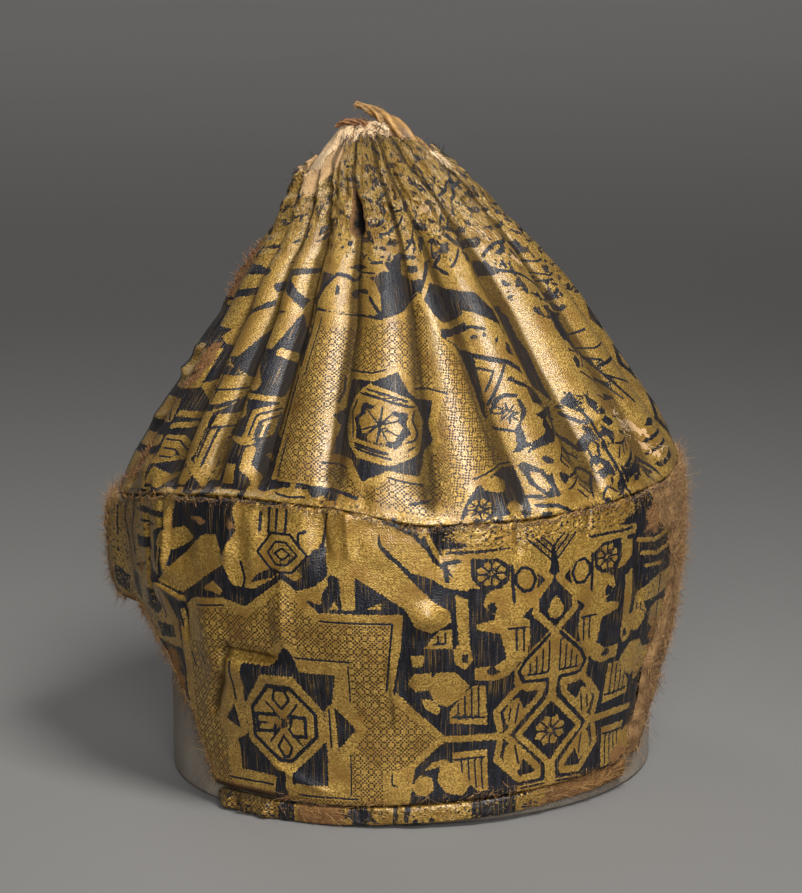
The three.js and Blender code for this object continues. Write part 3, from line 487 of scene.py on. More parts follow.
    ("gold", 0, [(-86, 92), (-77, 86), (-68, 80.4), (-62, 75), (-66, 66), (-69, 60), (-74, 60),
                 (-79, 64), (-83, 68), (-90, 57), (-98, 57), (-112, 62), (-130, 76), (-150, 78),
                 (-150, 96), (-90, 96)]),
    ("gold", 0, [(-73, 89.4), (-66, 90.4), (-58, 89), (-58, 81), (-61, 79), (-66, 83)]),
    ("dark", 0, [(-88, 95.6), (-79, 92.4), (-70, 93), (-60, 92), (-60, 90.2), (-73, 90), (-67, 84),
                 (-61, 79), (-62, 77), (-68, 80.6), (-76, 86), (-82, 91)]),
    ("line", 0.9, [(-80, 75), (-70, 75)]),
    ("dark", 0, [(-109, 82), (-103, 78.5), (-96, 76), (-90, 78.5), (-86, 79.6), (-86, 77), (-92, 75.4),
                 (-97, 73.4), (-104, 76), (-109, 79)]),
    ("dark", 0, [(-105, 91), (-100, 94.4), (-93, 92), (-95, 90), (-101, 89.6)]),
    ("dark", 0, [(-90, 86.4), (-85, 87.4), (-83.6, 84), (-87, 82.4)]),
    ("dark", 0, [(-150, 97), (-118, 94.6), (-111, 91.6), (-113, 90.4), (-150, 91.4)]),
    ("dark", 0, [(-150, 84), (-112, 85), (-108, 84), (-108, 82), (-118, 81.4), (-150, 79.4)]),
    ("dark", 0, [(-150, 74), (-126, 71), (-113, 68), (-116, 65), (-150, 66)]),
    ("gold", 0, [(-112, 45), (-94.5, 56.4), (-80, 46), (-80, 42), (-84, 36), (-94, 32), (-104, 37)]),
    ("dark", 0, [(-99, 50), (-94, 53.6), (-89, 52.4), (-83.4, 47), (-86, 48.6), (-91, 49.5),
                 (-96, 49.6)]),
    ("dark", 0, [(-105.4, 41.6), (-98, 38.6), (-94, 37.6), (-88, 37.4), (-82, 39.4), (-84, 36.6),
                 (-92, 34.2), (-97, 35.2), (-103, 39)]),
    ("line", 1.0, [(-92.8, 49.4), (-92.8, 38.4)]),
    ("line", 0.9, [(-106, 44), (-82, 43)]),
    ("line", 1.2, [(-109.4, 46.4), (-99, 51.4), (-94, 54.6)]),
    ("line", 1.2, [(-110, 50.6), (-101, 55)]),
    ("gold", 0, [(-94.4, 34), (-89, 34), (-88.6, 17), (-91, 14), (-94.6, 17)]),
    ("gold", 0, [(-87.4, 33), (-80.4, 33), (-80.4, 7), (-84, 10), (-87.6, 15)]),
    ("line", 1.6, [(-87.4, 32), (-87.6, 29.4)]),
    ("line", 0.9, [(-87, 27.4), (-86.8, 16)]),
    ("line", 0.9, [(-84.2, 27.4), (-84.2, 12)]),
    ("line", 0.9, [(-87.6, 28), (-80.4, 27.6)]),
    ("strap", 2.4, [(-114, 33.6), (-100, 31.4), (-95, 33.4)]),
    ("strap", 2.2, [(-114, 28.6), (-96, 28.4)]),
    ("gold", 0, [(-114, 25), (-106, 24), (-99, 17.6), (-102, 14), (-114, 13)]),
    ("line", 0.8, [(-113, 23), (-107, 22), (-103, 18)]),
    ("line", 0.8, [(-112, 19.4), (-107, 18.4), (-105, 16)]),
    ("line", 0.8, [(-112, 16), (-107, 15.2)]),
    ("strap", 2.6, [(-106, 4), (-98.6, 9.4), (-91.4, 15), (-85, 9.6), (-81, 4.4)]),
    ("gold", 0, [(-95, 9), (-91, 12), (-86, 8), (-89, 4.4), (-94, 5)]),
    ("gold", 0, [(-112, 12), (-103, 8), (-107, 3.6), (-114, 5)]),
    ("gold", 0, [(-150, 62), (-112, 60), (-112, 44), (-150, 44)]),
    ("gold", 0, [(-150, 40), (-118, 40), (-116, 30.4), (-150, 31)]),
    ("line", 1.2, [(-125, 38.6), (-118, 31.4)]),
    ("gold", 0, [(-150, 25.4), (-116, 25), (-116, 20.6), (-150, 20)]),
    ("gold", 0, [(-150, 17), (-115, 17), (-114, 3), (-150, 3)]),
    ("gold", 0, [(-79.4, 54.6), (-75, 55.6), (-67.6, 46), (-69, 43), (-79, 44)]),
    ("line", 1.2, [(-74.6, 49.6), (-74.6, 45.4)]),
    ("gold", 0, [(-79, 38.4), (-72, 38.4), (-69.6, 33), (-74, 30.4), (-79, 31)]),
    ("line", 1.0, [(-75.6, 37), (-75.6, 32)]),
    ("gold", 0, [(-80, 24), (-73.4, 24), (-73.4, 6), (-80, 6)]),
    ("line", 0.9, [(-76.8, 22), (-76.8, 8)]),
    ("gold", 0, [(-70.6, 13.4), (-65.6, 13.4), (-65.6, 5), (-71, 5)]),
    # Leaves and straps between the cross and the broad rib at the right
    ("gold", 0, [(34, 80.6), (45, 77), (53, 73.4), (56, 66), (58, 56), (60, 50), (66, 45), (70, 38),
                 (74, 30), (75, 20), (72, 4), (60, 1), (43, 3), (40.4, 20), (37, 30), (34.6, 45)]),
    ("gold", 0, [(21, 70), (29, 70.2), (36, 73), (36, 62), (31, 63.6), (26, 67.5)]),
    ("line", 1.3, [(34, 80.6), (42, 79.4), (49, 76.6), (53, 74.4), (54.8, 70), (55.6, 64), (57.4, 56),
                   (58, 51)]),
    ("line", 1.4, [(32, 73), (36, 73.6), (42, 72.8)]),
    ("dark", 0, [(34.4, 70), (37.6, 71), (38, 69.2), (35, 68.8)]),
    ("dark", 0, [(40, 71), (42.4, 71.6), (42.6, 70), (40.6, 69.4)]),
    ("dark", 0, [(46, 68.4), (49, 69.4), (48, 67.4), (45.6, 66.8)]),
    ("line", 2.1, [(29.5, 63.4), (36, 62.2), (44, 60.6), (50, 59.2), (56, 55.2), (58.4, 53)]),
    ("dark", 0, [(51, 63.4), (53, 67), (55.4, 65), (56.2, 60.4), (53, 61.6)]),
    ("line", 0.9, [(33, 58), (41, 56.6), (36, 49)]),
    ("line", 1.3, [(46.4, 58), (41, 51), (36, 44)]),
    ("dark", 0, [(45.4, 53), (47, 54.2), (50.6, 53.2), (49, 51.8)]),
    ("line", 1.9, [(50, 51.6), (55, 49.6), (58.6, 46.8)]),
    ("dark", 0, [(55.4, 48), (58, 49.4), (62, 45), (67, 40.6), (62, 40.2), (56, 43)]),
    ("line", 1.6, [(36.6, 41), (39.6, 46), (43, 47.4), (48, 46.8)]),
    ("flower", 5.4, [(42.4, 40.4)]),
    ("dark", 0, [(47.4, 46), (50, 45), (51, 40.6), (49, 38), (46.4, 36.4), (46.8, 29), (44, 26),
                 (40.6, 25), (43, 28.6), (43.6, 34), (46.6, 37.6), (48.4, 41.6)]),
    ("line", 1.2, [(36.4, 34.6), (43, 33.6)]),
    ("dark", 0, [(53, 38.8), (62, 37.6), (66, 36.2), (68, 33.4), (64, 30.2), (62.6, 30.8), (63.8, 34),
                 (61.6, 36.8)]),
    ("dark", 0, [(56.6, 34), (58, 36), (60, 35.4), (60.6, 33.4), (58.8, 31.8), (57, 32.4)]),
    ("line", 1.8, [(44, 28), (55, 28.4), (64, 29.4), (69, 25), (72.4, 20.6)]),
    ("line", 0.8, [(62.4, 16.6), (59, 20), (63.6, 24.2), (70.6, 18)]),
    ("line", 0.8, [(61.4, 21), (64.6, 17.2)]),
    ("line", 0.8, [(63.6, 22.6), (66.8, 18.8), (65, 17)]),
    ("dark", 0, [(50, 22.6), (52.6, 23.6), (55.4, 21.4), (55.6, 19.6), (52.6, 20)]),
    ("dark", 0, [(41.4, 20.6), (43.6, 22), (49, 19), (46, 17), (43, 16.6)]),
    ("dark", 0, [(50.6, 16), (53, 16.4), (53, 11), (49.6, 9), (51.6, 12)]),
    ("line", 1.6, [(42, 8.6), (49.6, 8.2)]),
    ("dark", 0, [(56, 16.4), (58, 16), (61, 13.6), (57, 11.6), (55.6, 13)]),
    ("line", 1.2, [(61, 13.4), (70.6, 14), (73.4, 11), (68.6, 4)]),
    ("line", 0.8, [(58, 9.4), (66, 12), (70, 7.6)]),
    ("line", 0.8, [(62, 8.2), (65.4, 4.4)]),
    ("line", 0.8, [(64.8, 9.4), (68, 5.6)]),
    ("line", 1.6, [(45, 5), (52, 4.2), (56, 1.4)]),
    ("flower", 5.0, [(24.2, 6)]),
    ("gold", 0, [(25, 16), (33, 17), (36.4, 14.4), (35.6, 11.2), (31, 11.4), (27, 13)]),
    ("gold", 0, [(33.6, 6.4), (38.4, 7.4), (40.4, 4.4), (36, 1.6)]),
    # Broad rib at the right, with dark figures beside it
    ("gold", 0, [(56, 96), (62, 91), (62.4, 76), (66, 62), (68.6, 45), (70, 38), (73, 30), (76, 20),
                 (72, 2), (140, 2), (140, 80), (96, 84), (90, 89), (72, 95)]),
    ("strap", 4.2, [(52, 90), (55, 84), (56.4, 75), (57.8, 62), (60, 50)]),
    ("strap", 2.2, [(60, 49), (64, 44.8), (67.6, 40.4), (70, 36)]),
    ("dark", 0, [(62.6, 76), (64, 74.6), (65, 66), (66.6, 62), (67.4, 55), (68.2, 45), (65, 46),
                 (61, 50.6), (61.6, 58), (60.6, 64), (62.6, 68)]),
    ("line", 1.0, [(57, 78), (61, 77.4), (63.4, 74.6)]),
    ("dark", 0, [(57, 95), (58.6, 97.6), (61, 97.4), (66, 95.6), (72, 93.4), (74, 92.6), (68, 91.8),
                 (62, 91), (58.6, 92)]),
    ("line", 1.4, [(70, 93.2), (80, 91.6), (86, 89.6), (95, 84.6), (96, 79)]),
    ("dark", 0, [(87.6, 72), (90, 73.4), (96, 68), (103, 64), (104, 62.6), (97, 63), (92, 61.6),
                 (88, 63), (87, 67)]),
    ("dark", 0, [(101, 67.4), (108, 70.8), (111, 70.8), (108, 67), (103, 65)]),
    ("dark", 0, [(87, 55.6), (90, 56.4), (92, 54), (88.6, 51.4), (87, 52)]),
    ("line", 0.9, [(88, 59), (94, 56.8)]),
    ("line", 1.0, [(100, 57.4), (107, 61.4), (118, 63)]),
    ("dark", 0, [(97, 81.4), (104, 82.6), (108, 81.6), (103, 80.4)]),
    ("line", 1.0, [(97, 84.4), (120, 84)]),
    ("line", 1.6, [(103, 76.6), (112, 76.8), (118, 80)]),
    ("line", 1.6, [(113, 48), (122, 49), (134, 50)]),
    ("dark", 0, [(101, 39), (106, 37.6), (111, 34.6), (107, 34), (102, 36.6)]),
    ("dark", 0, [(76, 36.4), (79, 37), (82, 35.6), (78, 34.8)]),
    ("dark", 0, [(84, 34), (88, 36.2), (90, 34), (87, 32.8)]),
    ("dark", 0, [(84.6, 31), (88, 32.8), (91, 29), (87, 28.2)]),
    ("line", 1.2, [(70, 38.4), (80, 38.8)]),
    ("line", 1.0, [(78, 42), (83, 40.6), (85, 42)]),
    ("line", 1.8, [(70.6, 35.4), (74, 32.8), (77.4, 31)]),
    ("dark", 0, [(80, 26.6), (84, 27.2), (83.6, 24.8), (80.6, 24.8)]),
    ("dark", 0, [(72, 24), (76, 27.4), (77, 24), (74, 20), (71.4, 20)]),
    ("dark", 0, [(74, 16), (77, 18.8), (79, 16), (76, 14.4)]),
    ("dark", 0, [(96, 19.4), (100, 21.8), (104, 20.6), (105.4, 15), (103.6, 9), (107, 4), (103, 4),
                 (100.6, 9), (102, 16), (100.6, 18.6)]),
    ("line", 2.0, [(82, 5), (86, 11), (97, 16.4)]),
    ("line", 2.0, [(82.6, 2.6), (88, 8.2), (99, 12.4)]),
    ("line", 0.8, [(88, 19), (86, 16)]),
    ("line", 0.8, [(91, 19.8), (89.4, 16.6)]),
    ("line", 0.8, [(94, 20.4), (92.4, 17.4)]),
    ("line", 0.8, [(91, 7.6), (93, 4.6)]),
    ("line", 0.8, [(94, 8.8), (96, 5.6)]),
    ("dark", 0, [(110, 7), (118, 8), (126, 11), (126, 7), (112, 5)]),
    # Worn figures above the broad rib
    ("dark", 0, [(40, 108.4), (44, 110), (47, 107), (52, 105.6), (60, 106), (70, 106.6), (72, 105.4),
                 (66, 103), (58, 102.4), (50, 102.6), (46, 104.6)]),
    ("dark", 0, [(51, 108.8), (56, 109.8), (63, 110.4), (64, 109), (57, 108)]),
    ("line", 1.4, [(42, 113), (50, 116.4)]),
    ("line", 1.4, [(48, 111.4), (55, 114.2)]),
    ("dark", 0, [(33, 104.4), (39, 105.6), (38.6, 103), (34.4, 102.8)]),
    ("line", 1.2, [(46, 103), (40, 98.8), (36, 97)]),
    ("line", 1.8, [(31, 101), (26, 97), (29, 95.6), (32, 94.2)]),
    ("dark", 0, [(74, 99.4), (80, 101.2), (85, 101.4), (84, 99.8), (78, 98.4)]),
    ("line", 1.4, [(66, 99), (72, 101.6), (80, 103.2), (93, 103.2)]),
    ("dark", 0, [(94, 105), (98, 107), (104, 104), (112, 101), (120, 97.4), (120, 95.6), (104, 97),
                 (99, 100.6), (96, 102.6)]),
    ("dark", 0, [(104, 107.4), (105, 109), (116, 108.4), (112, 106.6)]),
    ("dark", 0, [(48, 128.6), (56, 128.4), (66, 129), (60, 127.2), (52, 126.8)]),
    ("dark", 0, [(45, 134), (52, 134.8), (58, 133.4), (54, 131.8), (48, 132.2)]),
    ("dark", 0, [(38, 138), (46, 139.4), (54, 139.6), (48, 137), (41, 136.8)]),
    ("line", 1.2, [(58, 123.6), (70, 125.2), (84, 127.8), (96, 131.4)]),
    ("line", 1.4, [(70, 121.6), (82, 124.4), (92, 127.2), (102, 127.6)]),
    ("dark", 0, [(88, 122), (94, 123.8), (104, 122.6), (112, 123), (120, 121), (112, 119.6),
                 (100, 120.8)]),
    ("dark", 0, [(75, 120.2), (79, 119.2), (85, 117), (90, 117.6), (96, 117), (94, 115.6), (86, 115)]),
    ("dark", 0, [(38, 121), (42, 122.8), (46, 122.2), (44, 120.6), (40, 120.4)]),
    # Outlines and small figures of the outer ribs at the right
    ("line", 1.5, [(96, 83), (99, 76), (103, 66), (106, 57), (111, 47), (116, 38), (119, 32)]),
    ("line", 0.9, [(98, 80), (101, 72), (105, 64)]),
    ("line", 1.0, [(91.6, 51.5), (96, 54), (100, 57.5), (105, 60)]),
    ("line", 0.9, [(96, 88), (103, 92), (110, 93.4), (118, 92), (126, 92.4)]),
    ("line", 0.9, [(97, 86.6), (104, 88.6), (112, 87.6), (120, 86), (126, 86.6)]),
    ("line", 0.8, [(101, 74.6), (107, 75.4), (114, 77)]),
    ("line", 0.8, [(99, 78.4), (104, 79.6), (110, 78.6), (113, 80)]),
    ("line", 0.8, [(108, 56), (116, 55), (126, 56)]),
    ("line", 1.1, [(113, 44), (119, 41.4), (126, 38.6)]),
    ("line", 0.9, [(104, 47), (110, 40), (114, 34)]),
    ("line", 0.9, [(88, 50), (96, 45), (103, 40), (108, 36)]),
    ("line", 0.8, [(91, 40), (95, 37.4), (99, 36.6)]),
    ("line", 0.8, [(93, 31), (97, 29.4), (102, 30)]),
    ("line", 1.4, [(92, 25), (97, 23), (100, 24)]),
    ("line", 1.0, [(84, 22), (90, 20.6), (96, 21.6)]),
    ("line", 1.6, [(86, 6), (92, 8.6), (99, 9.6), (101, 4)]),
    ("line", 1.6, [(112, 16), (118, 17), (126, 18)]),
    ("line", 1.2, [(110, 11), (117, 12.6), (126, 14)]),
    ("dark", 0, [(116, 22), (121, 24.4), (126, 23), (121, 20.6)]),
    ("line", 1.2, [(76, 26), (79, 22), (78, 17), (81, 12), (79, 7)]),
    ("dark", 0, [(75, 12), (78, 13.4), (78.6, 10), (76, 8.6)]),
    ("dark", 0, [(81, 17.4), (83.4, 18), (82.4, 15)]),
    ("line", 0.9, [(72, 2), (76, 6), (80, 3)]),
    ("line", 1.5, [(75, 43), (79, 35), (80.6, 27), (82, 18), (84, 8), (86, 1)]),
    ("dark", 0, [(71, 40), (77, 44), (79, 39), (76, 36)]),
    ("dark", 0, [(82, 43), (87, 38), (84.6, 34), (82.6, 37)]),
    ("dark", 0, [(75, 31), (79, 29), (80, 23), (77, 25)]),
    ("dark", 0, [(83, 30), (88, 26), (85, 20), (84, 25)]),
    ("dark", 0, [(77, 18), (81, 15), (82, 8), (78.6, 11)]),
    ("dark", 0, [(84, 15), (88, 9), (87, 3), (85, 8)]),
    ("dark", 0, [(54.2, 38.6), (67.7, 38.7), (66.9, 31.3), (60.1, 27.3), (49.9, 26.5), (45.7, 24.8),
                 (49.1, 29), (57.6, 31.7), (58.4, 36)]),
    ("gold", 0, [(61, 35.6), (64.6, 36), (65, 32.6), (62, 31)]),
    ("dark", 0, [(41.5, 21.9), (49.9, 18.5), (54.2, 7.9), (49.1, 7.5), (44, 13.3)]),
    ("gold", 0, [(44.4, 18.4), (48.6, 17), (51, 11.4), (49, 10), (46.4, 13)]),
    ("line", 1.8, [(88, 9), (102.4, 14.7), (109.2, 3.4)]),
    ("line", 1.4, [(92, 5.4), (99, 9.8), (102.4, 2.3)]),
    ("dark", 0, [(90.6, 75.7), (103.3, 69.9), (108, 63), (94, 55), (90, 62.7), (86.5, 68.4)]),
    ("line", 1.0, [(96, 50), (104, 46), (112, 40)]),
    ("line", 1.2, [(100, 58), (108, 52), (116, 50)]),
]

# Flecked ground of the crown: where it starts up the cloth, and its fall between two places round
FLECKED = {"from": 92, "fall": 26, "between": (44, 84)}
# Turned dots of the cross's right arm: degrees, and the places round between which they start and end
TURNED_DOTS = {"turn": 36, "start": (12, 16), "end": (40, 48)}
# Ragged gold stripe of the band: middle and half length round, middle and half width below the seam
STRIPE = {"middle": 50, "half": 62, "below": 3, "wide": 9, "strength": 1.4}
# Worn places of the crown as patches: place round, place up, half sizes, strength
CROWN_WEAR = [(0, 128, 70, 20, 0.3), (85, 36, 18, 10, 0.4), (122, 96, 20, 10, 0.5)]
# Shapes worn to brown fibre, and shapes torn to the cream lining
WORN_SHAPES = [[(-123, 45), (-116, 45), (-112.6, 54), (-114, 63), (-118, 63), (-122, 54)],
               [(-140, 7), (-124, 8), (-120, 17), (-128, 22), (-142, 20)],
               [(-162, 80), (-143, 81), (-140, 90), (-147, 101), (-162, 102)]]
BARE_SHAPES = [[(100, 31), (105, 28), (111, 24), (116, 18.5), (117, 14.5), (113, 17.5), (108, 22),
                (103, 26)],
               [(108, 18), (113, 13), (117, 8.5), (114.6, 8), (110, 13)],
               [(82, 98.6), (90, 98), (95, 93), (92, 93.4), (86, 97)],
               [(30, 118), (34, 121), (38, 120), (36, 117.5)],
               [(-104, 126), (-86, 122), (-68, 129), (-52, 137), (-50, 150), (-104, 150)]]
# Hole worn through the crown, painted near-black as painted shade and not cut
HOLE = [(-121.6, 48.6), (-117, 50.4), (-116.6, 52), (-121, 51)]
# Worn places of the band and the hem as patches
BAND_WEAR = [(70, 8, 34, 8, 0.9), (88, 14, 12, 12, 0.9), (-100, 44, 14, 30, 0.8), (-84, 14, 14, 12, 0.6),
             (-48, 7, 8, 5, 0.9), (-77, 104.6, 10, 4, 0.7), (-62, 106, 5, 8, 0.7), (4, 107, 6, 4, 0.6),
             (98, 99, 16, 14, 0.8), (104, 55, 12, 24, 0.65), (-117, 80, 8, 8, 0.7),
             (-150, 84, 10, 40, 0.8), (-140, 62, 24, 7, 0.9)]
HEM_WEAR = [(-34.5, 6, 16, 40, 1.25), (92, 6, 76, 40, 1.3)]
# Hole worn through the band, painted near-black as painted shade and not cut
BAND_HOLE = [(89.6, 12.2, 2.4, 2.6, 1.6)]
# Chart of the hem: lattice from the left to the fold, gold from the fold to the right
HEM_CHART = {"left": -90, "fold": -52, "right": 100, "below": -4, "above": 20, "slant": 0.6}
# Dark stretches of the hem: place round at the start and end
HEM_DARK = [(-51.5, -45), (-22.5, -17), (-7.5, -5.8), (-3.4, -1.8), (21, 38)]

# Bare tip of the lining: share of the way to the tip, radius, lean towards -X
TIP_TABLE = [(0.8, 28.0, 7.5), (0.85, 23.5, 9.0), (0.89, 18.5, 10.5), (0.905, 16.0, 11.5),
             (0.93, 12.6, 12.2), (0.955, 10.4, 12.6), (0.975, 7.6, 13), (0.985, 3.4, 13.4)]
# Frayed strip over the tip, and loose scraps beside it: x, y, z, half thickness
TUFT = [(10.4, -10.2, 219.4, 1.6), (5.2, -8, 223.8, 2.9), (-1.6, -4.4, 229.6, 3.2), (-7, -1.9, 234, 2.5),
        (-11.6, -0.4, 236.4, 1.7), (-16, 0.5, 238, 1.1)]
RUSSET_SCRAP = [(-23, -3, 230.4, 0.6), (-19, -4.6, 232.2, 1.2), (-14, -5.4, 232.0, 1.3),
                (-11, -6.2, 229.6, 0.7)]
CREAM_SCRAP = [(-9.6, -5.2, 231.8, 0.7), (-6.4, -6.6, 230.6, 1.0), (-4.6, -8.2, 227.6, 0.9),
               (-4.2, -9.8, 224.4, 0.5)]
SIDE_SCRAP = [(8.7, -10.4, 222, 0.6), (12.3, -10.2, 220, 1.2), (15.4, -9.6, 217.4, 1.2),
              (17.2, -9, 214.6, 0.6)]
SCRAP_THREADS = {"count": 110, "lengths": (1, 3), "radii": (0.08, 0.16)}

# Where loose threads start: angle from, angle to, count
THREAD_STRETCHES = {
    "left_wadding_fibres": [(-107, -86, 3600)],
    "seam_gold_threads": [(-92, 92, 460)],
    "hem_fibres": [(24, 56, 300), (-28, -14, 80), (-49, -30, 40)],
    "seam_stitches": [(-92, 92, 600)],
    "seam_threads": [(-92, 92, 600)],
    "edge_threads": [(-76, -49, 600), (-90, -76, 60), (-30, 57, 200)],
    "rim_threads": [(-180, 180, 420)],
    "tip_threads": [(-40, 90, 130)],
    "tip_dark_threads": [(-40, 90, 110)],
    "worn_fibres": [(-97, -83, 260), (-84, -71, 180), (-72, -67, 80)],
}
# How they lie: combed round and up, spread, standing off the cloth, lengths, radii
THREAD_WAYS = {
    "right_wadding_fibres": ((0.35, 0.2), 0.9, 0.15, (2, 5.5), (0.05, 0.13)),
    "left_wadding_fibres": ((-0.2, 0.1), 0.8, 0.25, (1.5, 4.5), (0.05, 0.11)),
    "seam_gold_threads": ((0.8, 0.6), 0.5, -0.2, (0.7, 1.8), (0.1, 0.22)),
    "hem_fibres": ((1.0, 0.1), 0.35, 0.14, (2, 6), (0.06, 0.14)),
    "seam_stitches": ((0.9, 0.5), 0.7, 0.12, (0.8, 2.6), (0.06, 0.15)),
    "seam_threads": ((0.9, 0.5), 0.7, 0.12, (0.8, 2.6), (0.06, 0.15)),
    "edge_threads": ((-0.6, -0.6), 0.7, 0.12, (1.2, 4.2), (0.05, 0.12)),
    "rim_threads": ((0.0, 0.7), 0.6, 0.2, (1, 3), (0.07, 0.16)),
    "tip_threads": ((0.5, -0.6), 0.7, 0.15, (1.5, 4.5), (0.08, 0.2)),
    "tip_dark_threads": ((0.5, -0.6), 0.7, 0.15, (1.5, 4.5), (0.08, 0.2)),
    "tear_threads": ((0.5, -0.7), 0.5, 0.2, (1.2, 4), (0.08, 0.2)),
    "worn_fibres": ((0.2, 0.5), 0.8, 0.3, (1.2, 3.4), (0.08, 0.18)),
}
# How far inside the face threads of the crown are rooted
ROOT = 0.2
# Torn line of the crown: count of threads, where it starts, how far it runs, and its scatter
TEAR = {"count": 220, "angle": 59, "turn": 10.5, "share": 0.2, "fall": 0.14, "wide": 0.7, "tall": 0.006}
# Shares at which the worn fibres start: from, to, count
WORN_LEVELS = [(0.52, 0.66, 260), (0.04, 0.14, 180), (0.29, 0.4, 80)]

# Colours of the silk and the floor, as 0 to 255 on a screen
TONES = {"gold_dark": (124, 94, 36), "gold_light": (184, 148, 72), "gold_aged": (134, 98, 38),
         "dot": (52, 34, 12), "navy_dark": (8, 8, 12), "navy_light": (30, 31, 40),
         "fibre_dark": (74, 50, 28), "fibre_light": (150, 108, 62),
         "lining_dark": (150, 112, 70), "lining_light": (214, 178, 130),
         # Painted shade: a dark brown laid where the cloth lies in shade, and near-black for the insides
         # of holes
         "painted_shade_brown": (30, 21, 11), "hole_shade": (10, 7, 5),
         "floor_dark": (110, 108, 105), "floor_light": (114, 112, 109)}
# Woven cells in millimetres round and up: of the gold's edges, and of ragged places
CELL = (0.5, 0.42)
RAGGED_CELL = (0.8, 0.45)
# The weave's waves, in radians to the millimetre round and up, and the depth of bumps in metres
WEAVE = {"around": 6.28, "up": 7.48, "height": 0.1}
BUMP = 0.0004

# Stage: side of the floor in metres, and the grey of the light all round
FLOOR_SIZE = 24
ROOM_GREY = 0.09
# Lamps: name, place, aim and size in metres, watts, spread of the beam in degrees
LIGHTS = [("key", (0.36, -0.6, 1.0), (0, -0.05, 0.1), (0.34, 0.34), 2.4, 66),
          ("fill", (0.04, -1.0, 0.42), (0, -0.05, 0.1), (0.3, 0.3), 0.9, 60),
          ("rim", (-0.5, 0.9, 1.1), (0, 0, 0.1), (0.5, 0.5), 0.65, 80),
          ("back", (0, 4.2, 3), (0, 4.2, 0), (6, 5), 76, 140)]


# Curves and noise

def curve(table, column, at):
    """Smooth value of one column of a table, read along its first column."""
    rows = np.array(table, float)
    x, y = rows[:, 0], rows[:, column]
    step = np.diff(x)
    slope = np.diff(y) / step
    same = slope[1:] * slope[:-1] > 0
    middle = np.where(same, 2 * slope[1:] * slope[:-1] / np.where(same, slope[1:] + slope[:-1], 1), 0)
    tangent = np.concatenate([slope[:1], middle, slope[-1:]])
    at = np.clip(at, x[0], x[-1])
    i = np.clip(np.searchsorted(x, at, side="right") - 1, 0, len(step) - 1)
    t = (at - x[i]) / step[i]
    return (y[i] * (1 + 2 * t) * (1 - t) ** 2 + y[i + 1] * t ** 2 * (3 - 2 * t)
            + step[i] * (tangent[i] * t * (1 - t) ** 2 - tangent[i + 1] * t ** 2 * (1 - t)))


def wrap(angle):
    return (np.asarray(angle, float) + 180) % 360 - 180


def smoothstep(low, high, value):
    t = np.clip((np.asarray(value, float) - low) / (high - low), 0, 1)
    return t * t * (3 - 2 * t)


def hump(offset, half):
    """1 in the middle, 0 from half away."""
    return 0.5 + 0.5 * np.cos(np.pi * np.clip(np.abs(offset) / half, 0, 1))


def hashed(cell, seed):
    """A number from 0 to 1 for each whole-number cell of up to three dimensions."""
    scales = (127.1, 311.7, 74.7)
    mixed = sum(cell[..., axis] * scales[axis] for axis in range(cell.shape[-1]))
    value = np.sin(mixed + seed * 37.3) * 43758.5453
    return value - np.floor(value)


def noise(seed, *place):
    """Smooth noise from -1 to 1 at places given in cells, one argument for each dimension."""
    place = np.stack(np.broadcast_arrays(*place), -1).astype(float)
    low = np.floor(place)
    t = place - low
    t = t * t * (3 - 2 * t)
    total = 0
    for corner in np.ndindex(*(2,) * place.shape[-1]):
        weight = np.prod(np.where(np.array(corner) == 1, t, 1 - t), axis=-1)
        total = total + weight * hashed(low + corner, seed)
    return 2 * total - 1


def ring_noise(seed, angle, cells, *place):
    """Noise round the cap with about that many cells in a turn, without a join."""
    turn = np.radians(angle)
    reach = cells / (2 * math.pi)
    return noise(seed, reach * np.sin(turn), reach * np.cos(turn), *place)


def round_point(angle, radius, height, lean=0.0):
    """Places at angles, radii and heights about the axis, which may lean towards -X."""
    arc = np.radians(angle)
    return np.stack([radius * np.sin(arc) - lean, -radius * np.cos(arc), height + 0 * radius], -1)


def unit(vectors):
    return vectors / np.linalg.norm(vectors, axis=-1, keepdims=True)


# Form of the crown

def seam_at(angle):
    return curve(SEAM, 1, wrap(angle))


def all_creases():
    """The front's creases, then evenly spaced ones round the back, with angles growing."""
    first, last = CREASES[0], CREASES[-1]
    tip_step, seam_step = ((360 + first[i] - last[i]) / (BACK_CREASES + 1) for i in (0, 1))
    back = [(last[0] + tip_step * i, last[1] + seam_step * i, BACK_RISE)
            for i in range(1, BACK_CREASES + 1)]
    return np.array([*CREASES, *back])


def rib_place(angle, share):
    """Which rib each place is on, how far across it from -1 to 1, and the rib's width in degrees."""
    lines = all_creases()
    lean = np.clip(share / 0.85, 0, 1)[..., None]
    places = lines[:, 1] + (lines[:, 0] - lines[:, 1]) * lean
    first = places[..., :1]
    turn = (angle[..., None] - first) % 360
    starts = places - first
    index = np.sum(turn >= starts, axis=-1) - 1
    ends = np.concatenate([starts[..., 1:], np.full_like(first, 360.0)], axis=-1)
    low = np.take_along_axis(starts, index[..., None], -1)[..., 0]
    high = np.take_along_axis(ends, index[..., None], -1)[..., 0]
    across = (2 * turn[..., 0] - low - high) / (high - low)
    return index, across, high - low


def rib_rise(angle, share):
    """Padded ribs between sewn creases: rounded in the middle, sharp at the creases."""
    index, across, spread = rib_place(angle, share)
    rounded = (1 - np.abs(across) ** 2) ** 1.05
    width = np.clip(spread / 16, 0.6, 1.25)
    grown = smoothstep(0, 0.08, share) * (1 - 0.72 * smoothstep(0.52, 0.84, share))
    return all_creases()[index, 2] * width * (rounded - 0.64) * grown


def crease_depth(angle, share):
    """1 in the sewn line of a crease, 0 from a little way off it."""
    _, across, spread = rib_place(angle, share)
    off = (1 - np.abs(across)) * np.radians(spread / 2) * SEAM_RADIUS * (1 - 0.8 * share)
    return smoothstep(1.3, 0.5, off) * smoothstep(0.01, 0.06, share)


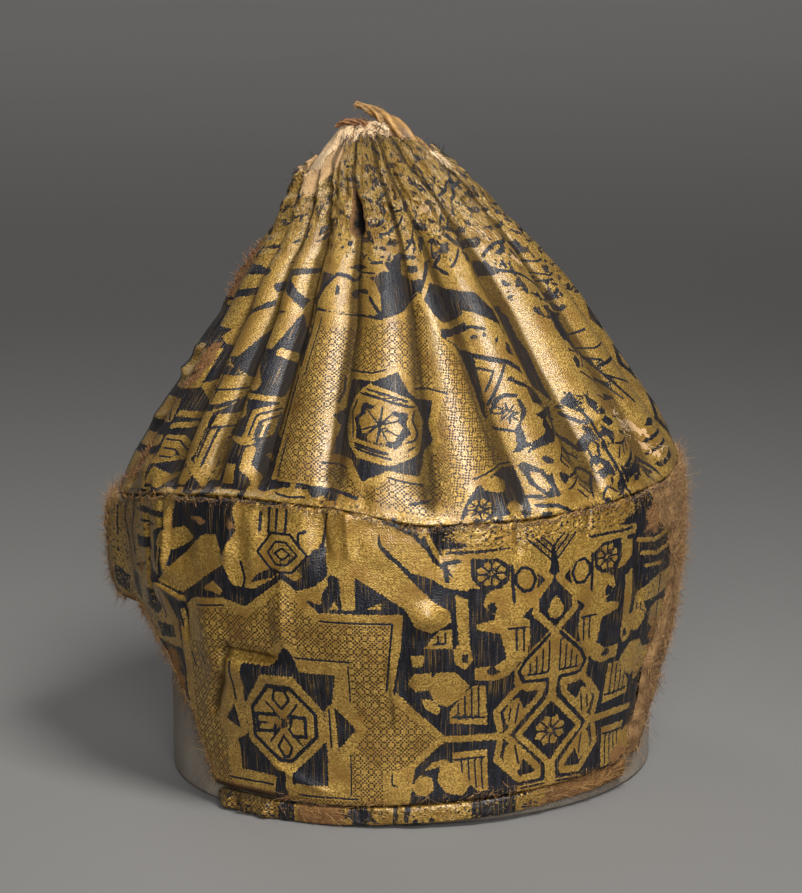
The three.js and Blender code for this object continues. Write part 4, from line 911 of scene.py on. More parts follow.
def crumple(angle, share):
    """Small gathers, growing towards the tip, along the seam and in the crumpled patches."""
    gathered = smoothstep(0.5, 0.85, share)
    puckered = 1 - smoothstep(0.02, 0.12, share)
    rise = 0.0
    for seed, cells, cells_up, everywhere, at_tip, at_seam, folded in GATHERS:
        layer = ring_noise(seed, angle, cells, share * cells_up)
        if folded:
            layer = 0.5 - np.abs(layer)
        rise = rise + layer * (everywhere + at_tip * gathered + at_seam * puckered)
    sharp = 1 - 2 * np.abs(ring_noise(12, angle, 46, share * 17))
    for middle, level, wide, tall, depth in CRUMPLES:
        rise = rise + depth * sharp * hump(wrap(angle - middle), wide) * hump(share - level, tall)
    return rise


def slit_reach(angle, height):
    """Above 0 inside the slit near the tip: widest below, pointed above."""
    up = (height - SLIT["bottom"]) / (SLIT["top"] - SLIT["bottom"])
    half = SLIT["half"] * np.clip(up * 6, 0, 1) * np.clip(1 - up, 0, 1) ** 0.7
    radius = curve(CROWN_ROWS, 1, height)
    across = np.radians(wrap(angle - SLIT["angle"])) * radius
    return np.where((up > 0) & (up < 1), half - np.abs(across), -1.0)


def crown_point(angle, share, inset=0.0):
    """A place on the crown's outer face, or that far inside it."""
    seam = seam_at(angle)
    height = seam + (TIP - seam) * share
    radius = curve(CROWN_ROWS, 1, height) + rib_rise(angle, share) + crumple(angle, share)
    tucked = band_radius(angle, seam) - 0.7
    radius = tucked + (radius - tucked) * smoothstep(-0.006, 0.02, share) - inset
    return round_point(angle, radius, height, curve(CROWN_ROWS, 2, height))


def rim_at(angle):
    ragged = 0.013 * ring_noise(21, angle, 60) + 0.009 * ring_noise(22, angle, 190)
    return curve(RIM, 1, wrap(angle)) + ragged


# Form of the band

def fold_rise(angle, height):
    """Sharp ridges and grooves along the band's folds, fading at their ends."""
    around = SEAM_RADIUS * np.radians(wrap(angle))
    total = 0.0
    for from_around, from_up, to_around, to_up, half, rise in FOLDS:
        run = math.hypot(to_around - from_around, to_up - from_up)
        ahead = ((to_around - from_around) / run, (to_up - from_up) / run)
        x, y = around - from_around, height - from_up
        along = (x * ahead[0] + y * ahead[1]) / run
        off = np.abs(x * ahead[1] - y * ahead[0]) / half
        fade = smoothstep(-0.15, 0.15, along) * (1 - smoothstep(0.8, 1.15, along))
        total = total + rise * fade * np.clip(1 - off, 0, 1) ** 1.5
    return np.maximum(total, -2.0)


def band_radius(angle, height):
    radius = curve(BAND_ROWS, 1, height)
    risen = smoothstep(20, 65, height)
    for middle, half, rise in FLARES:
        radius = radius + rise * risen * hump(wrap(angle - middle), half)
    for middle, level, wide, tall, rise in DENTS:
        radius = radius + rise * hump(wrap(angle - middle), wide) * hump(height - level, tall)
    return radius


def band_point(angle, height, rise=0.0):
    return round_point(angle, band_radius(angle, height) + rise, height)


def hem_foot(angle):
    span = HEM["right"] - HEM["from"]
    return HEM["clear"] + HEM["lift"] * np.clip((angle - HEM["from"]) / span, 0, 1)


def front_edge(angle):
    table = np.array(FRONT_EDGE, float)
    return np.maximum(np.interp(angle, table[:, 0], table[:, 1]), hem_foot(angle) + HEM["height"] + GAP)


def band_top(angle):
    ragged = 0.8 * ring_noise(45, angle, 90) + 0.5 * ring_noise(46, angle, 260)
    return seam_at(angle) - GAP - 0.1 + ragged


def right_edge(steps):
    """Torn right edge of the front of the band, for steps from its lower edge to its top."""
    torn = 0.8 * noise(51, steps * 34) + 0.5 * noise(52, steps * 90)
    return curve(FRONT_RIGHT, 1, EDGE_RUN["foot"] + EDGE_RUN["length"] * steps) + torn


def roll_rise(angle, height):
    """The padded roll into which the band turns at its left side."""
    up = np.clip(2 * (height - ROLL["bottom"]) / (ROLL["top"] - ROLL["bottom"]) - 1, -1, 1)
    full = np.sqrt(1 - up ** 4)
    return (ROLL["thick"] - WALL) * full * (1 - smoothstep(-88, -77, angle))


def band_relief(angle, height):
    """Puckers under the seam, small creases, and edges that turn in."""
    top = band_top(angle)
    low = front_edge(angle)
    puckered = smoothstep(top - 16, top, height)
    rise = 0.0
    for seed, cells, cells_up, everywhere, at_seam in PUCKERS:
        layer = ring_noise(seed, angle, cells, height * cells_up)
        rise = rise + layer * (everywhere + at_seam * puckered)
    tucked = 1.2 - 0.9 * smoothstep(-33, -29, angle) * (1 - smoothstep(50, 56, angle))
    turned = smoothstep(top - 1.4, top, height) * 0.5 + smoothstep(low + 2.0, low, height) * tucked
    return rise + roll_rise(angle, height) + fold_rise(angle, height) - turned


def hem_size(angle):
    """How far the hem is folded over, its thickness and its height. It is worn thin at the right."""
    folded = 1 - smoothstep(*HEM_FLAT, angle)
    thin = smoothstep(*HEM_THIN, angle)
    ends = smoothstep(HEM["left"] - 0.4, HEM["left"] + 2, angle)
    thick = (HEM["thick"] - 0.6 + folded - 1.2 * thin) * (0.7 + 0.3 * ends)
    tall = (HEM["height"] - 0.6 + 0.5 * folded) * (0.8 + 0.2 * ends)
    return folded, thick, tall


def pad_rise(angle, height):
    rise = 0.8
    for seed, cells, cells_up, lump in LUMPS:
        rise = rise + lump * ring_noise(seed, angle, cells, height * cells_up)
    return rise


# Painting of the woven figures

def distance_to(place, points, closed):
    """Distance from each place to a path, and on which side of it the place lies."""
    points = np.array(points, float)
    starts = points if closed else points[:-1]
    ends = np.roll(points, -1, axis=0) if closed else points[1:]
    along = ends - starts
    away = place[:, None] - starts
    share = np.clip(np.sum(away * along, -1) / np.sum(along * along, -1), 0, 1)
    rest = away - share[..., None] * along
    lengths = np.hypot(rest[..., 0], rest[..., 1])
    nearest = np.argmin(lengths, axis=1)
    row = np.arange(len(place))
    side = along[nearest, 0] * rest[row, nearest, 1] - along[nearest, 1] * rest[row, nearest, 0]
    return lengths[row, nearest], np.where(side < 0, -1.0, 1.0)


def depth_inside(place, points):
    """How far each place is inside a shape, below 0 outside it."""
    length, _ = distance_to(place, points, True)
    points = np.array(points, float)
    ends = np.roll(points, -1, axis=0)
    x, y = place[:, :1], place[:, 1:]
    crossing = (points[:, 1] > y) != (ends[:, 1] > y)
    rise = np.where(ends[:, 1] == points[:, 1], 1, ends[:, 1] - points[:, 1])
    at = points[:, 0] + (ends[:, 0] - points[:, 0]) * (y - points[:, 1]) / rise
    inside = np.sum(crossing & (x < at), axis=1) % 2 == 1
    return np.where(inside, length, -length)


class Chart:
    """Woven figures at places on the cloth, kept as distances so that their edges stay crisp.

    gold and lattice are depths inside those parts. line is the place across the nearest dark stroke,
    from -1 to 1 within it, and near is the distance outside it.
    """

    FAR = 9.0
    MARGIN = 3.0

    def __init__(self, around, up):
        self.place = np.stack([around.ravel(), up.ravel()], -1)
        count = len(self.place)
        self.gold = np.full(count, -self.FAR)
        self.lattice = np.full(count, -self.FAR)
        self.line = np.full(count, self.FAR)
        self.near = np.full(count, self.FAR)

    def places_near(self, points, reach):
        low, high = np.min(points, axis=0) - reach, np.max(points, axis=0) + reach
        return np.flatnonzero(np.all((self.place > low) & (self.place < high), axis=1))

    def lay(self, kind, some, depth):
        """Lays a figure over some of the places, by their depths inside it."""
        if kind == "dark":
            self.gold[some] = np.minimum(self.gold[some], -depth)
        else:
            self.gold[some] = np.maximum(self.gold[some], depth)
        if kind == "lattice":
            self.lattice[some] = np.maximum(self.lattice[some], depth)
        else:
            self.lattice[some] = np.minimum(self.lattice[some], -depth)
        self.near[some[depth > 0]] = self.FAR

    def fill(self, kind, points):
        some = self.places_near(points, self.MARGIN)
        self.lay(kind, some, depth_inside(self.place[some], points))

    def strap(self, width, points):
        some = self.places_near(points, self.MARGIN + width)
        length, _ = distance_to(self.place[some], points, False)
        self.lay("gold", some, width / 2 - length)

    def stroke(self, width, points):
        some = self.places_near(points, self.MARGIN)
        length, side = distance_to(self.place[some], points, False)
        outside = length - width / 2
        closer = outside < self.near[some]
        some = some[closer]
        self.line[some] = (side * length)[closer] / (width / 2)
        self.near[some] = outside[closer]

    def flower(self, length, middle):
        """Eight petals, a little flattened, with a dark stroke in each notch."""
        turns = np.radians(np.arange(0, 360, 22.5))
        reach = length * np.where(np.arange(16) % 2, 0.98, 0.78)
        petals = np.stack([reach * np.cos(turns), 0.86 * reach * np.sin(turns)], -1)
        self.fill("gold", middle + petals)
        for notch in petals[::2]:
            self.stroke(0.8, [middle + 0.3 * notch, middle + notch])

    def paint(self, rows):
        for kind, width, points in rows:
            if kind == "strap":
                self.strap(width, points)
            elif kind == "line":
                self.stroke(width, points)
            elif kind == "flower":
                self.flower(width, points[0])
            else:
                self.fill(kind, points)

    def values(self):
        names = ("gold", "lattice", "line", "near")
        values = {name: getattr(self, name) for name in names}
        around, up = self.place.T
        return {**values, "around": around, "up": up, "dot_around": around, "dot_up": up}


def around_at(angle):
    """Place round the cloth. The back repeats the front, reflected."""
    angle = wrap(angle)
    folded = np.where(np.abs(angle) > 90, np.sign(angle) * 180 - angle, angle)
    return SEAM_RADIUS * np.radians(folded)


def tree_rows():
    """Both halves of the tree, about its leaning axis."""
    def placed(points, side):
        return [(TREE_AXIS["foot"] + TREE_AXIS["lean"] * up + side * out, up) for out, up in points]
    return [(kind, width, placed(points, side))
            for kind, width, points in TREE_CHART for side in (-1, 1)]


def patches(table, around, up):
    """The strongest of several soft patches: place round, place up, half sizes and strength."""
    total = np.zeros_like(around)
    for middle, level, wide, tall, strength in table:
        total = np.maximum(total, strength * hump(around - middle, wide) * hump(up - level, tall))
    return total


def shapes_depth(shapes, around, up):
    """How far each place is inside the nearest of several shapes, below 0 outside them."""
    place = np.stack([around.ravel(), up.ravel()], -1)
    depths = [depth_inside(place, shape) for shape in shapes]
    return np.max(depths, axis=0).reshape(around.shape)


# Meshes

def make_mesh(name, points, faces, material, values):
    """A mesh object from points in millimetres about the stand's axis."""
    mesh = bpy.data.meshes.new(name)
    places = (np.asarray(points, float) + (AXIS[0], AXIS[1], 0)) * MM
    mesh.from_pydata(places.tolist(), [], [tuple(face) for face in faces])
    for key, numbers in values.items():
        layer = mesh.attributes.new(key, "FLOAT", "POINT")
        layer.data.foreach_set("value", np.asarray(numbers, float).ravel())
    mesh.polygons.foreach_set("use_smooth", [True] * len(mesh.polygons))
    mesh.materials.append(material)
    obj = bpy.data.objects.new(name, mesh)
    bpy.context.scene.collection.objects.link(obj)
    return obj


def grid_faces(rows, columns, closed_columns=False):
    """Quads over points in row order. The rows go round, and open columns are capped at both ends."""
    steps = columns if closed_columns else columns - 1
    row, column = np.meshgrid(np.arange(rows), np.arange(steps), indexing="ij")
    corners = [(row, column), (row, column + 1), (row + 1, column + 1), (row + 1, column)]
    index = [(r % rows) * columns + c % columns for r, c in corners]
    faces = np.stack(index, -1).reshape(-1, 4).tolist()
    if not closed_columns:
        faces.append(list(range((rows - 1) * columns, -1, -columns)))
        faces.append(list(range(columns - 1, rows * columns, columns)))
    return faces


def make_grid(name, points, material, values, closed_columns=False):
    """A mesh over points in rows and columns, joined from the last row to the first."""
    faces = grid_faces(*points.shape[:2], closed_columns)
    return make_mesh(name, points.reshape(-1, 3), faces, material, values)


def row_picks(rows, count):
    """Some of the rows of an outer face, from the last to the first, for the inner face behind it."""
    return np.linspace(rows - 1, 0, count).astype(int)


def add(obj, slot, *nodes):
    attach(obj, "root")
    if nodes:
        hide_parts(*nodes)
    return obj


# Materials

class Nodes:
    """A material's node tree, with short ways to add the nodes used here."""

    def __init__(self, name):
        self.material = bpy.data.materials.new(name)
        self.material.use_nodes = True
        self.tree = self.material.node_tree
        self.shader = self.tree.nodes["Principled BSDF"]

    def put(self, socket, value):
        if isinstance(value, bpy.types.NodeSocket):
            self.tree.links.new(value, socket)
        else:
            socket.default_value = value

    def node(self, kind, **settings):
        made = self.tree.nodes.new("ShaderNode" + kind)
        for key, value in settings.items():
            setattr(made, key, value)
        return made

    def math(self, operation, *values):
        made = self.node("Math", operation=operation)
        for socket, value in zip(made.inputs, values):
            self.put(socket, value)
        return made.outputs[0]

    def plus(self, first, second):
        return self.math("ADD", first, second)

    def minus(self, first, second):
        return self.math("SUBTRACT", first, second)

    def times(self, first, second):
        return self.math("MULTIPLY", first, second)

    def larger(self, first, second):
        return self.math("MAXIMUM", first, second)

    def rest(self, share):
        """What a share leaves of 1."""
        return self.minus(1.0, share)

    def attribute(self, name):
        return self.node("Attribute", attribute_name=name).outputs["Fac"]

    def step(self, value, low, high):
        """0 below low, 1 above high."""
        made = self.node("MapRange", interpolation_type="SMOOTHSTEP")
        for key, number in (("Value", value), ("From Min", low), ("From Max", high)):
            self.put(made.inputs[key], number)
        return made.outputs[0]

    def place(self, x, y, z=0.0):
        made = self.node("CombineXYZ")
        for socket, value in zip(made.inputs, (x, y, z)):
            self.put(socket, value)
        return made.outputs[0]

    def noise(self, place, scale, detail=2.0):
        """Noise from 0 to 1, with features about 1/scale across."""
        made = self.node("TexNoise")
        for key, value in (("Vector", place), ("Scale", scale), ("Detail", detail)):
            self.put(made.inputs[key], value)
        return made.outputs["Fac"]

    def cells(self, x, y, wide, tall):
        """A number from 0 to 1 for each woven cell."""
        made = self.node("TexWhiteNoise", noise_dimensions="2D")
        column, row = (self.math("FLOOR", self.math("DIVIDE", axis, size))
                       for axis, size in ((x, wide), (y, tall)))
        self.put(made.inputs["Vector"], self.place(column, row))
        return made.outputs["Value"]

    def mix(self, share, first, second):
        made = self.node("Mix", data_type="RGBA")
        for key, value in ((0, share), (6, first), (7, second)):
            self.put(made.inputs[key], value)
        return made.outputs[2]

    def blend(self, share, first, second):
        """A number between two others."""
        made = self.node("Mix", data_type="FLOAT")
        for key, value in ((0, share), (2, first), (3, second)):
            self.put(made.inputs[key], value)
        return made.outputs[0]

    def bump(self, height, strength, distance, socket="Normal"):
        made = self.node("Bump")
        for key, value in (("Height", height), ("Strength", strength), ("Distance", distance)):
            self.put(made.inputs[key], value)
        self.put(self.shader.inputs[socket], made.outputs[0])

    def set(self, **inputs):
        for key, value in inputs.items():
            self.put(self.shader.inputs[key.replace("_", " ")], value)


def colour(red, green, blue):
    """A colour given as 0 to 255 on a screen."""
    def linear(value):
        value = value / 255
        return value / 12.92 if value < 0.04045 else ((value + 0.055) / 1.055) ** 2.4
    return (linear(red), linear(green), linear(blue), 1)


def tone(name):
    return colour(*TONES[name])


def figured_silk():
    """Gold and dark blue silk, painted from the cloth's chart."""
    n = Nodes("figured_silk")
    around, up = n.attribute("around"), n.attribute("up")
    place = n.place(around, up)
    cell = n.cells(around, up, *CELL)
    grain = n.noise(place, 1.7, 2)
    broad = n.noise(place, 0.09, 3)
    warp = n.noise(n.place(n.times(around, 1.7), n.times(up, 0.09)), 1.0, 3)
    hairs = n.noise(n.place(n.times(around, 2.4), n.times(up, 0.07)), 1.0, 1)
    weft = n.noise(n.place(n.times(around, 0.16), n.times(up, 2.2)), 1.0, 2)
    # Edges of the gold in woven steps, then dark strokes and the lattice's dots on it
    stepped = n.times(n.minus(cell, 0.5), 0.4)
    shift = n.plus(n.times(n.minus(warp, 0.5), 0.5), stepped)
    gold = n.step(n.plus(n.attribute("gold"), shift), -0.1, 0.1)
    across = n.plus(n.math("ABSOLUTE", n.attribute("line")), stepped)
    stroke = n.times(n.rest(n.step(across, 0.85, 1.1)), n.rest(n.step(n.attribute("near"), 0.3, 0.5)))
    dots = n.times(lattice_dots(n), n.step(n.attribute("lattice"), 0.2, 0.6))
    fleck = n.times(n.step(hairs, 0.56, 0.66), n.step(broad, 0.36, 0.62))
    # Ragged places lose gold in some cells and show stray gold in others
    ragged = n.attribute("ragged")
    torn = n.plus(n.times(n.cells(around, up, *RAGGED_CELL), 0.6),
                  n.times(n.step(n.noise(place, 0.7, 2), 0.3, 0.7), 0.4))
    limit = n.blend(gold, n.minus(1.05, n.times(ragged, 0.3)), n.minus(n.times(ragged, 0.34), 0.05))
    gold = n.step(n.minus(torn, limit), -0.04, 0.04)
    gold = n.larger(gold, n.times(fleck, 0.45))
    worn_weft = n.times(n.step(weft, 0.66, 0.8), 0.4)
    gold = n.times(gold, n.rest(n.larger(stroke, worn_weft)))
    # Worn places show brown fibre, and bare ones the cream lining
    loose = n.plus(n.times(grain, 0.5), n.times(n.noise(place, 0.35, 3), 0.7))
    worn = n.step(n.minus(n.plus(n.attribute("wear"), loose), 0.6), 0.5, 0.62)
    bare = n.step(n.plus(n.attribute("bare"), n.times(loose, 0.5)), 0.72, 0.78)
    # Painted shade: holes painted near-black, and the cloth darkened where shade falls
    painted_pit_shade = n.attribute("painted_pit_shade")
    painted_shade = n.attribute("painted_shade")
    # Colours, from the cloth to what lies on it
    gold_colour = n.mix(n.step(cell, 0.0, 1.0), tone("gold_dark"), tone("gold_light"))
    gold_colour = n.mix(n.step(broad, 0.4, 0.75), gold_colour, tone("gold_aged"))
    gold_colour = n.mix(dots, gold_colour, tone("dot"))
    navy = n.mix(n.step(warp, 0.35, 0.7), tone("navy_dark"), tone("navy_light"))
    painted = n.mix(gold, navy, gold_colour)
    painted = n.mix(worn, painted, n.mix(weft, tone("fibre_dark"), tone("fibre_light")))
    painted = n.mix(bare, painted, n.mix(grain, tone("lining_dark"), tone("lining_light")))
    # Painted shade: dark brown in the rib valleys, creases and folds, over the hem's folded end, and a
    # little over the whole crown
    painted = n.mix(n.times(painted_shade, 0.75), painted, tone("painted_shade_brown"))
    # Painted shade: the worn holes and the slit's sunken floor are painted near-black for their dark
    # insides
    painted = n.mix(painted_pit_shade, painted, tone("hole_shade"))
    # Fibre, lining, painted holes and painted shade are matt, and the dots duller than the gold
    soft = n.larger(n.larger(worn, bare), painted_pit_shade)
    metal = n.times(gold, n.rest(n.larger(soft, dots)))
    matt = n.larger(soft, n.step(painted_shade, 0.4, 0.9))
    rough = n.blend(matt, n.blend(gold, 0.38, n.blend(cell, 0.3, 0.5)), 0.9)
    dull = n.larger(matt, n.times(dots, 0.85))
    shine = n.blend(dull, n.blend(gold, 0.14, 0.56), 0.0)
    n.set(Base_Color=painted, Metallic=n.times(metal, 0.4), Roughness=rough, Coat_Weight=shine,
          Coat_Roughness=0.22, IOR=1.35)
    # Relief of threads and crinkles, with the fine weave under the gloss only
    crinkle = n.times(n.noise(place, 0.6, 2), n.times(ragged, 3.6))
    threads = n.plus(grain, n.times(weft, 0.4))
    height = n.plus(n.times(gold, 0.25), n.plus(crinkle, threads))
    woven = n.times(n.math("SINE", n.times(around, WEAVE["around"])),
                    n.math("SINE", n.times(up, WEAVE["up"])))
    n.bump(n.plus(height, n.times(woven, WEAVE["height"])), 0.75, BUMP)
    n.bump(height, 0.36, BUMP, "Coat Normal")
    return n.material


def lattice_dots(n, pitch=0.7, period=7.0, side=5.0):
    """Dots in woven cells: the outlines of diamonds in slanted rows."""
    axes = n.attribute("dot_around"), n.attribute("dot_up")
    column, row = (n.plus(n.math("DIVIDE", axis, pitch), 4000.0) for axis in axes)
    i, j = n.math("FLOOR", column), n.math("FLOOR", row)
    rising = n.math("MODULO", n.plus(i, j), period)
    falling = n.math("MODULO", n.plus(n.minus(i, j), 1000 * period), period)
    ways = rising, falling
    within = n.times(*(n.math("LESS_THAN", way, side + 0.5) for way in ways))
    offs = [n.math("ABSOLUTE", n.minus(way, side / 2)) for way in ways]
    edge = n.larger(*(n.math("COMPARE", off, side / 2, 0.4) for off in offs))
    x, y = (n.math("ABSOLUTE", n.minus(n.math("FRACT", axis), 0.5)) for axis in (column, row))
    inside = n.rest(n.step(n.larger(x, y), 0.4, 0.52))
    return n.times(n.times(edge, within), inside)


def fibre(name, dark, light, roughness=0.75):
    """Loose threads or wool, each strand with its own shade."""
    n = Nodes(name)
    place = n.node("TexCoord").outputs["Object"]
    speck = n.minus(n.noise(place, 900, 2), 0.5)
    shade = n.plus(n.attribute("shade"), n.times(speck, 0.5))
    n.set(Base_Color=n.mix(shade, dark, light), Roughness=roughness)
    n.bump(n.noise(place, 2600, 2), 0.4, BUMP)
    return n.material


def linen(name, dark, light, weave, depth):
    """Plain matt cloth with a fine over-and-under weave, weave threads to the millimetre."""
    n = Nodes(name)
    around, up = n.attribute("around"), n.attribute("up")
    threads = [n.math("SINE", n.times(axis, 2 * math.pi * weave)) for axis in (around, up)]
    place = n.place(around, up)
    mottle = n.plus(n.times(n.noise(place, 0.06, 4), 0.7), n.times(n.noise(place, 1.1, 2), 0.5))
    n.set(Base_Color=n.mix(n.step(mottle, 0.3, 0.85), dark, light), Roughness=0.88)
    n.bump(n.plus(n.times(*threads), n.times(n.noise(place, 0.8, 3), 2.0)), 0.5, depth)
    return n.material


# Pieces

RNG = np.random.default_rng(7)
SILK = figured_silk()
LINEN = linen("cream_lining", colour(176, 140, 100), colour(222, 194, 152), 0.7, 0.0003)
DRUM = linen("drum_cover", colour(112, 102, 90), colour(146, 136, 122), 0.55, 0.00025)
WOOL = fibre("brown_wool", colour(74, 50, 26), colour(180, 139, 88))
TWIST = fibre("gold_twist", colour(76, 52, 24), colour(178, 134, 72), 0.55)
RUSSET = fibre("russet_thread", colour(78, 48, 26), colour(158, 108, 62), 0.7)
CREAM = fibre("cream_thread", colour(150, 118, 80), colour(226, 202, 164), 0.8)
STRAW = fibre("frayed_thread", colour(92, 60, 28), colour(184, 140, 82), 0.6)
DARK_THREAD = fibre("dark_thread", colour(26, 26, 32), colour(70, 66, 66), 0.6)


def build_crown():
    """The padded crown: a skirt behind the band, the outer face, the inner face, the skirt's back."""
    angles = np.concatenate([np.arange(*run) for run in CROWN_COLUMNS])
    rim = rim_at(angles)
    skirt_height = seam_at(angles) + np.array([[-SKIRT], [0]])
    skirt = band_point(angles + 0 * skirt_height, skirt_height, -(WALL + GAP))
    first = CROWN_MESH["first"]
    angle, step = np.meshgrid(angles, np.linspace(first, 1, CROWN_MESH["rows"]))
    share = step * rim
    height = seam_at(angle) + (TIP - seam_at(angle)) * share
    reach = slit_reach(angle, height)
    outer = crown_point(angle, share, SLIT["depth"] * smoothstep(0, 0.8, reach))
    angle_in, step_in = np.meshgrid(angles, np.linspace(1, first, CROWN_MESH["inner_rows"]))
    share_in = step_in * rim
    wall = WALL - 1.8 * smoothstep(0.65, 0.88, share_in)
    room = hump(wrap(angle_in - SLIT["angle"]), SLIT_ROOM["half"])
    room = room * hump(share_in - SLIT_ROOM["share"], SLIT_ROOM["tall"])
    inner = crown_point(angle_in, share_in, wall + (SLIT["depth"] + SLIT_ROOM["spare"]) * room)
    skirt_in = band_point(angles + 0 * skirt_height, skirt_height[::-1], -(2 * WALL + GAP))
    points = np.concatenate([skirt, outer, inner, skirt_in])
    shares = np.concatenate([0 * skirt_height, share, share_in, 0 * skirt_height])
    slit = np.full(shares.shape, -Chart.FAR)
    start = CROWN_MESH["skirt_rows"]
    end = start + CROWN_MESH["rows"]
    slit[start:end] = reach
    inside = np.arange(len(shares))[:, None] >= end
    values = crown_values(np.broadcast_to(angles, shares.shape), shares, slit, inside)
    return make_grid("crown_cover", points, SILK, values, closed_columns=True)


def crown_values(turn, shares, slit, inside):
    """The crown's figures, its wear and its painted shade, at angles and shares, with the reach of the
    slit.
    """
    around = around_at(turn)
    up = CLOTH_LENGTH * shares
    chart = Chart(around, up)
    chart.paint(CROWN_CHART)
    values = chart.values()
    starts = FLECKED["from"] - FLECKED["fall"] * smoothstep(*FLECKED["between"], around)
    above = smoothstep(0, 20, up - starts)
    flecks = 3 * (noise(31, around * 0.2, up * 0.55) + 0.46) + 2.2 * noise(32, around * 0.55, up * 1.1)
    flecked = np.minimum(values["gold"], flecks.ravel())
    values["gold"] = np.where(above.ravel() > 0.2, flecked, values["gold"])
    edge_flecks = 2.2 * noise(34, around * 0.45, up * 0.5) + 0.7 + 0.3 * noise(35, around * 1.6, up)
    at_seam = (up < 3.2 + 1.5 * noise(36, around * 0.3, 0 * up)).ravel()
    edged = np.maximum(values["gold"], edge_flecks.ravel())
    values["gold"] = np.where(at_seam, edged, values["gold"])
    turned = smoothstep(*TURNED_DOTS["start"], around) * (1 - smoothstep(*TURNED_DOTS["end"], around))
    turned = turned * np.radians(TURNED_DOTS["turn"])
    across = around * (1 - 0.5 * shares)
    values["dot_around"] = across * np.cos(turned) + up * np.sin(turned)
    values["dot_up"] = up * np.cos(turned) - across * np.sin(turned)
    front = np.abs(wrap(turn)) < FRONT_REACH
    worn = np.clip(0.5 + 0.25 * shapes_depth(WORN_SHAPES, around, up), 0, 1)
    frayed = smoothstep(-1.3, -0.2, slit) * (slit > -1.3)
    wear = np.maximum(patches(CROWN_WEAR, around, up), worn * front)
    values["wear"] = np.maximum(wear, 0.8 * frayed)
    mangled = 0.3 * noise(37, around * 0.8, up * 0.8) + 0.2 * noise(38, around * 2, up * 1.2)
    torn = np.clip(0.4 + 0.2 * shapes_depth(BARE_SHAPES, around, up) + mangled, 0, 1.5)
    values["bare"] = np.where(inside, 2.0, torn * front)
    # Painted shade: the worn hole is painted near-black without being cut, and so is the slit's sunken
    # floor
    hole_shade = smoothstep(-0.2, 0.5, shapes_depth([HOLE], around, up))
    values["painted_pit_shade"] = np.maximum(smoothstep(0.0, 0.35, slit), hole_shade * front)
    crumpled = 0.85 * smoothstep(88, 118, up) + 0.5 * (1 - smoothstep(1.5, 5, up))
    values["ragged"] = np.clip(crumpled + 0.5 * (worn > 0.3) + 0.1, 0, 1)
    # Painted shade: the whole crown a little darker, varying at random, and darker in the rib valleys and
    # along the sewn creases
    crown_dimming = 0.2 + 0.14 * noise(33, around * 0.05, up * 0.05)
    valley_shade = smoothstep(-0.3, -2.8, rib_rise(turn, shares))
    values["painted_shade"] = np.clip(np.maximum(valley_shade, crease_depth(turn, shares)) + crown_dimming, 0, 1)
    return values


def build_band():
    """The front of the band: the outer face from its lower edge to the seam, and a lined inner face."""
    steps = np.linspace(0, 1, BAND_MESH["rows"])[:, None]
    spread = np.linspace(0, 1, BAND_MESH["columns"])[None, :]
    angle = FRONT_LEFT + (right_edge(steps) - FRONT_LEFT) * spread
    height = front_edge(angle) + (band_top(angle) - front_edge(angle)) * steps
    clear = STAND_RADIUS + 0.4 - band_radius(angle, height)
    outer = band_point(angle, height, np.maximum(band_relief(angle, height), clear + 1))
    back = row_picks(len(steps), BAND_MESH["inner_rows"])
    rolled = roll_rise(angle[back], height[back])
    behind = -WALL - 0.8 * smoothstep(14, 24, height[back]) + rolled * 0.5
    inner = band_point(angle[back], height[back], np.maximum(behind, clear[back]))
    turn = np.concatenate([angle, angle[back]])
    up = np.concatenate([height, height[back]])
    values = band_values(turn, up)
    values["bare"] = np.zeros_like(up)
    values["bare"][len(steps) + BAND_MESH["turned_rows"]:] = 2.0
    return make_grid("band_cover", np.concatenate([outer, inner]), SILK, values)


def band_values(turn, up):
    """The figures of the band's front, its wear and its painted shade, at angles and heights."""
    around = SEAM_RADIUS * np.radians(turn)
    chart = Chart(around, up)
    chart.paint(FIELD_CHART)
    chart.paint(tree_rows())
    chart.paint(EDGE_CHART)
    values = chart.values()
    below_top = band_top(turn) - up
    above_edge = up - front_edge(turn)
    stripe = STRIPE["strength"] * hump(around - STRIPE["middle"], STRIPE["half"])
    stripe = stripe * hump(below_top - STRIPE["below"], STRIPE["wide"])
    rolled = 0.75 * smoothstep(-116, -124, around) + 0.4 * smoothstep(-98, -112, around)
    rolled = rolled + 0.5 * smoothstep(-96, -104, around) * (up < 74)
    edges = 0.6 * (1 - smoothstep(0, 3.5, below_top)) + 0.5 * smoothstep(52, 57, turn)
    values["ragged"] = np.clip(stripe + rolled + edges + 0.1, 0, 1)
    values["gold"] = np.maximum(values["gold"], 3 * stripe.ravel() - 1.5)
    edge_wear = 0.75 * (1 - smoothstep(0, 7, above_edge)) * (around < -52)
    values["wear"] = np.maximum(patches(BAND_WEAR, around, up), edge_wear)
    # Painted shade: the worn hole near the right edge is painted near-black, not cut
    values["painted_pit_shade"] = patches(BAND_HOLE, around, up)
    # Painted shade: a dark strip just above the hem's folded left end, and darker grooves along the
    # band's folds
    over_hem_shadow = smoothstep(3.2, 0.8, above_edge) * (turn < -30) * (turn > -50)
    values["painted_shade"] = np.maximum(smoothstep(-0.3, -2.0, fold_rise(turn, up)), over_hem_shadow)
    return values


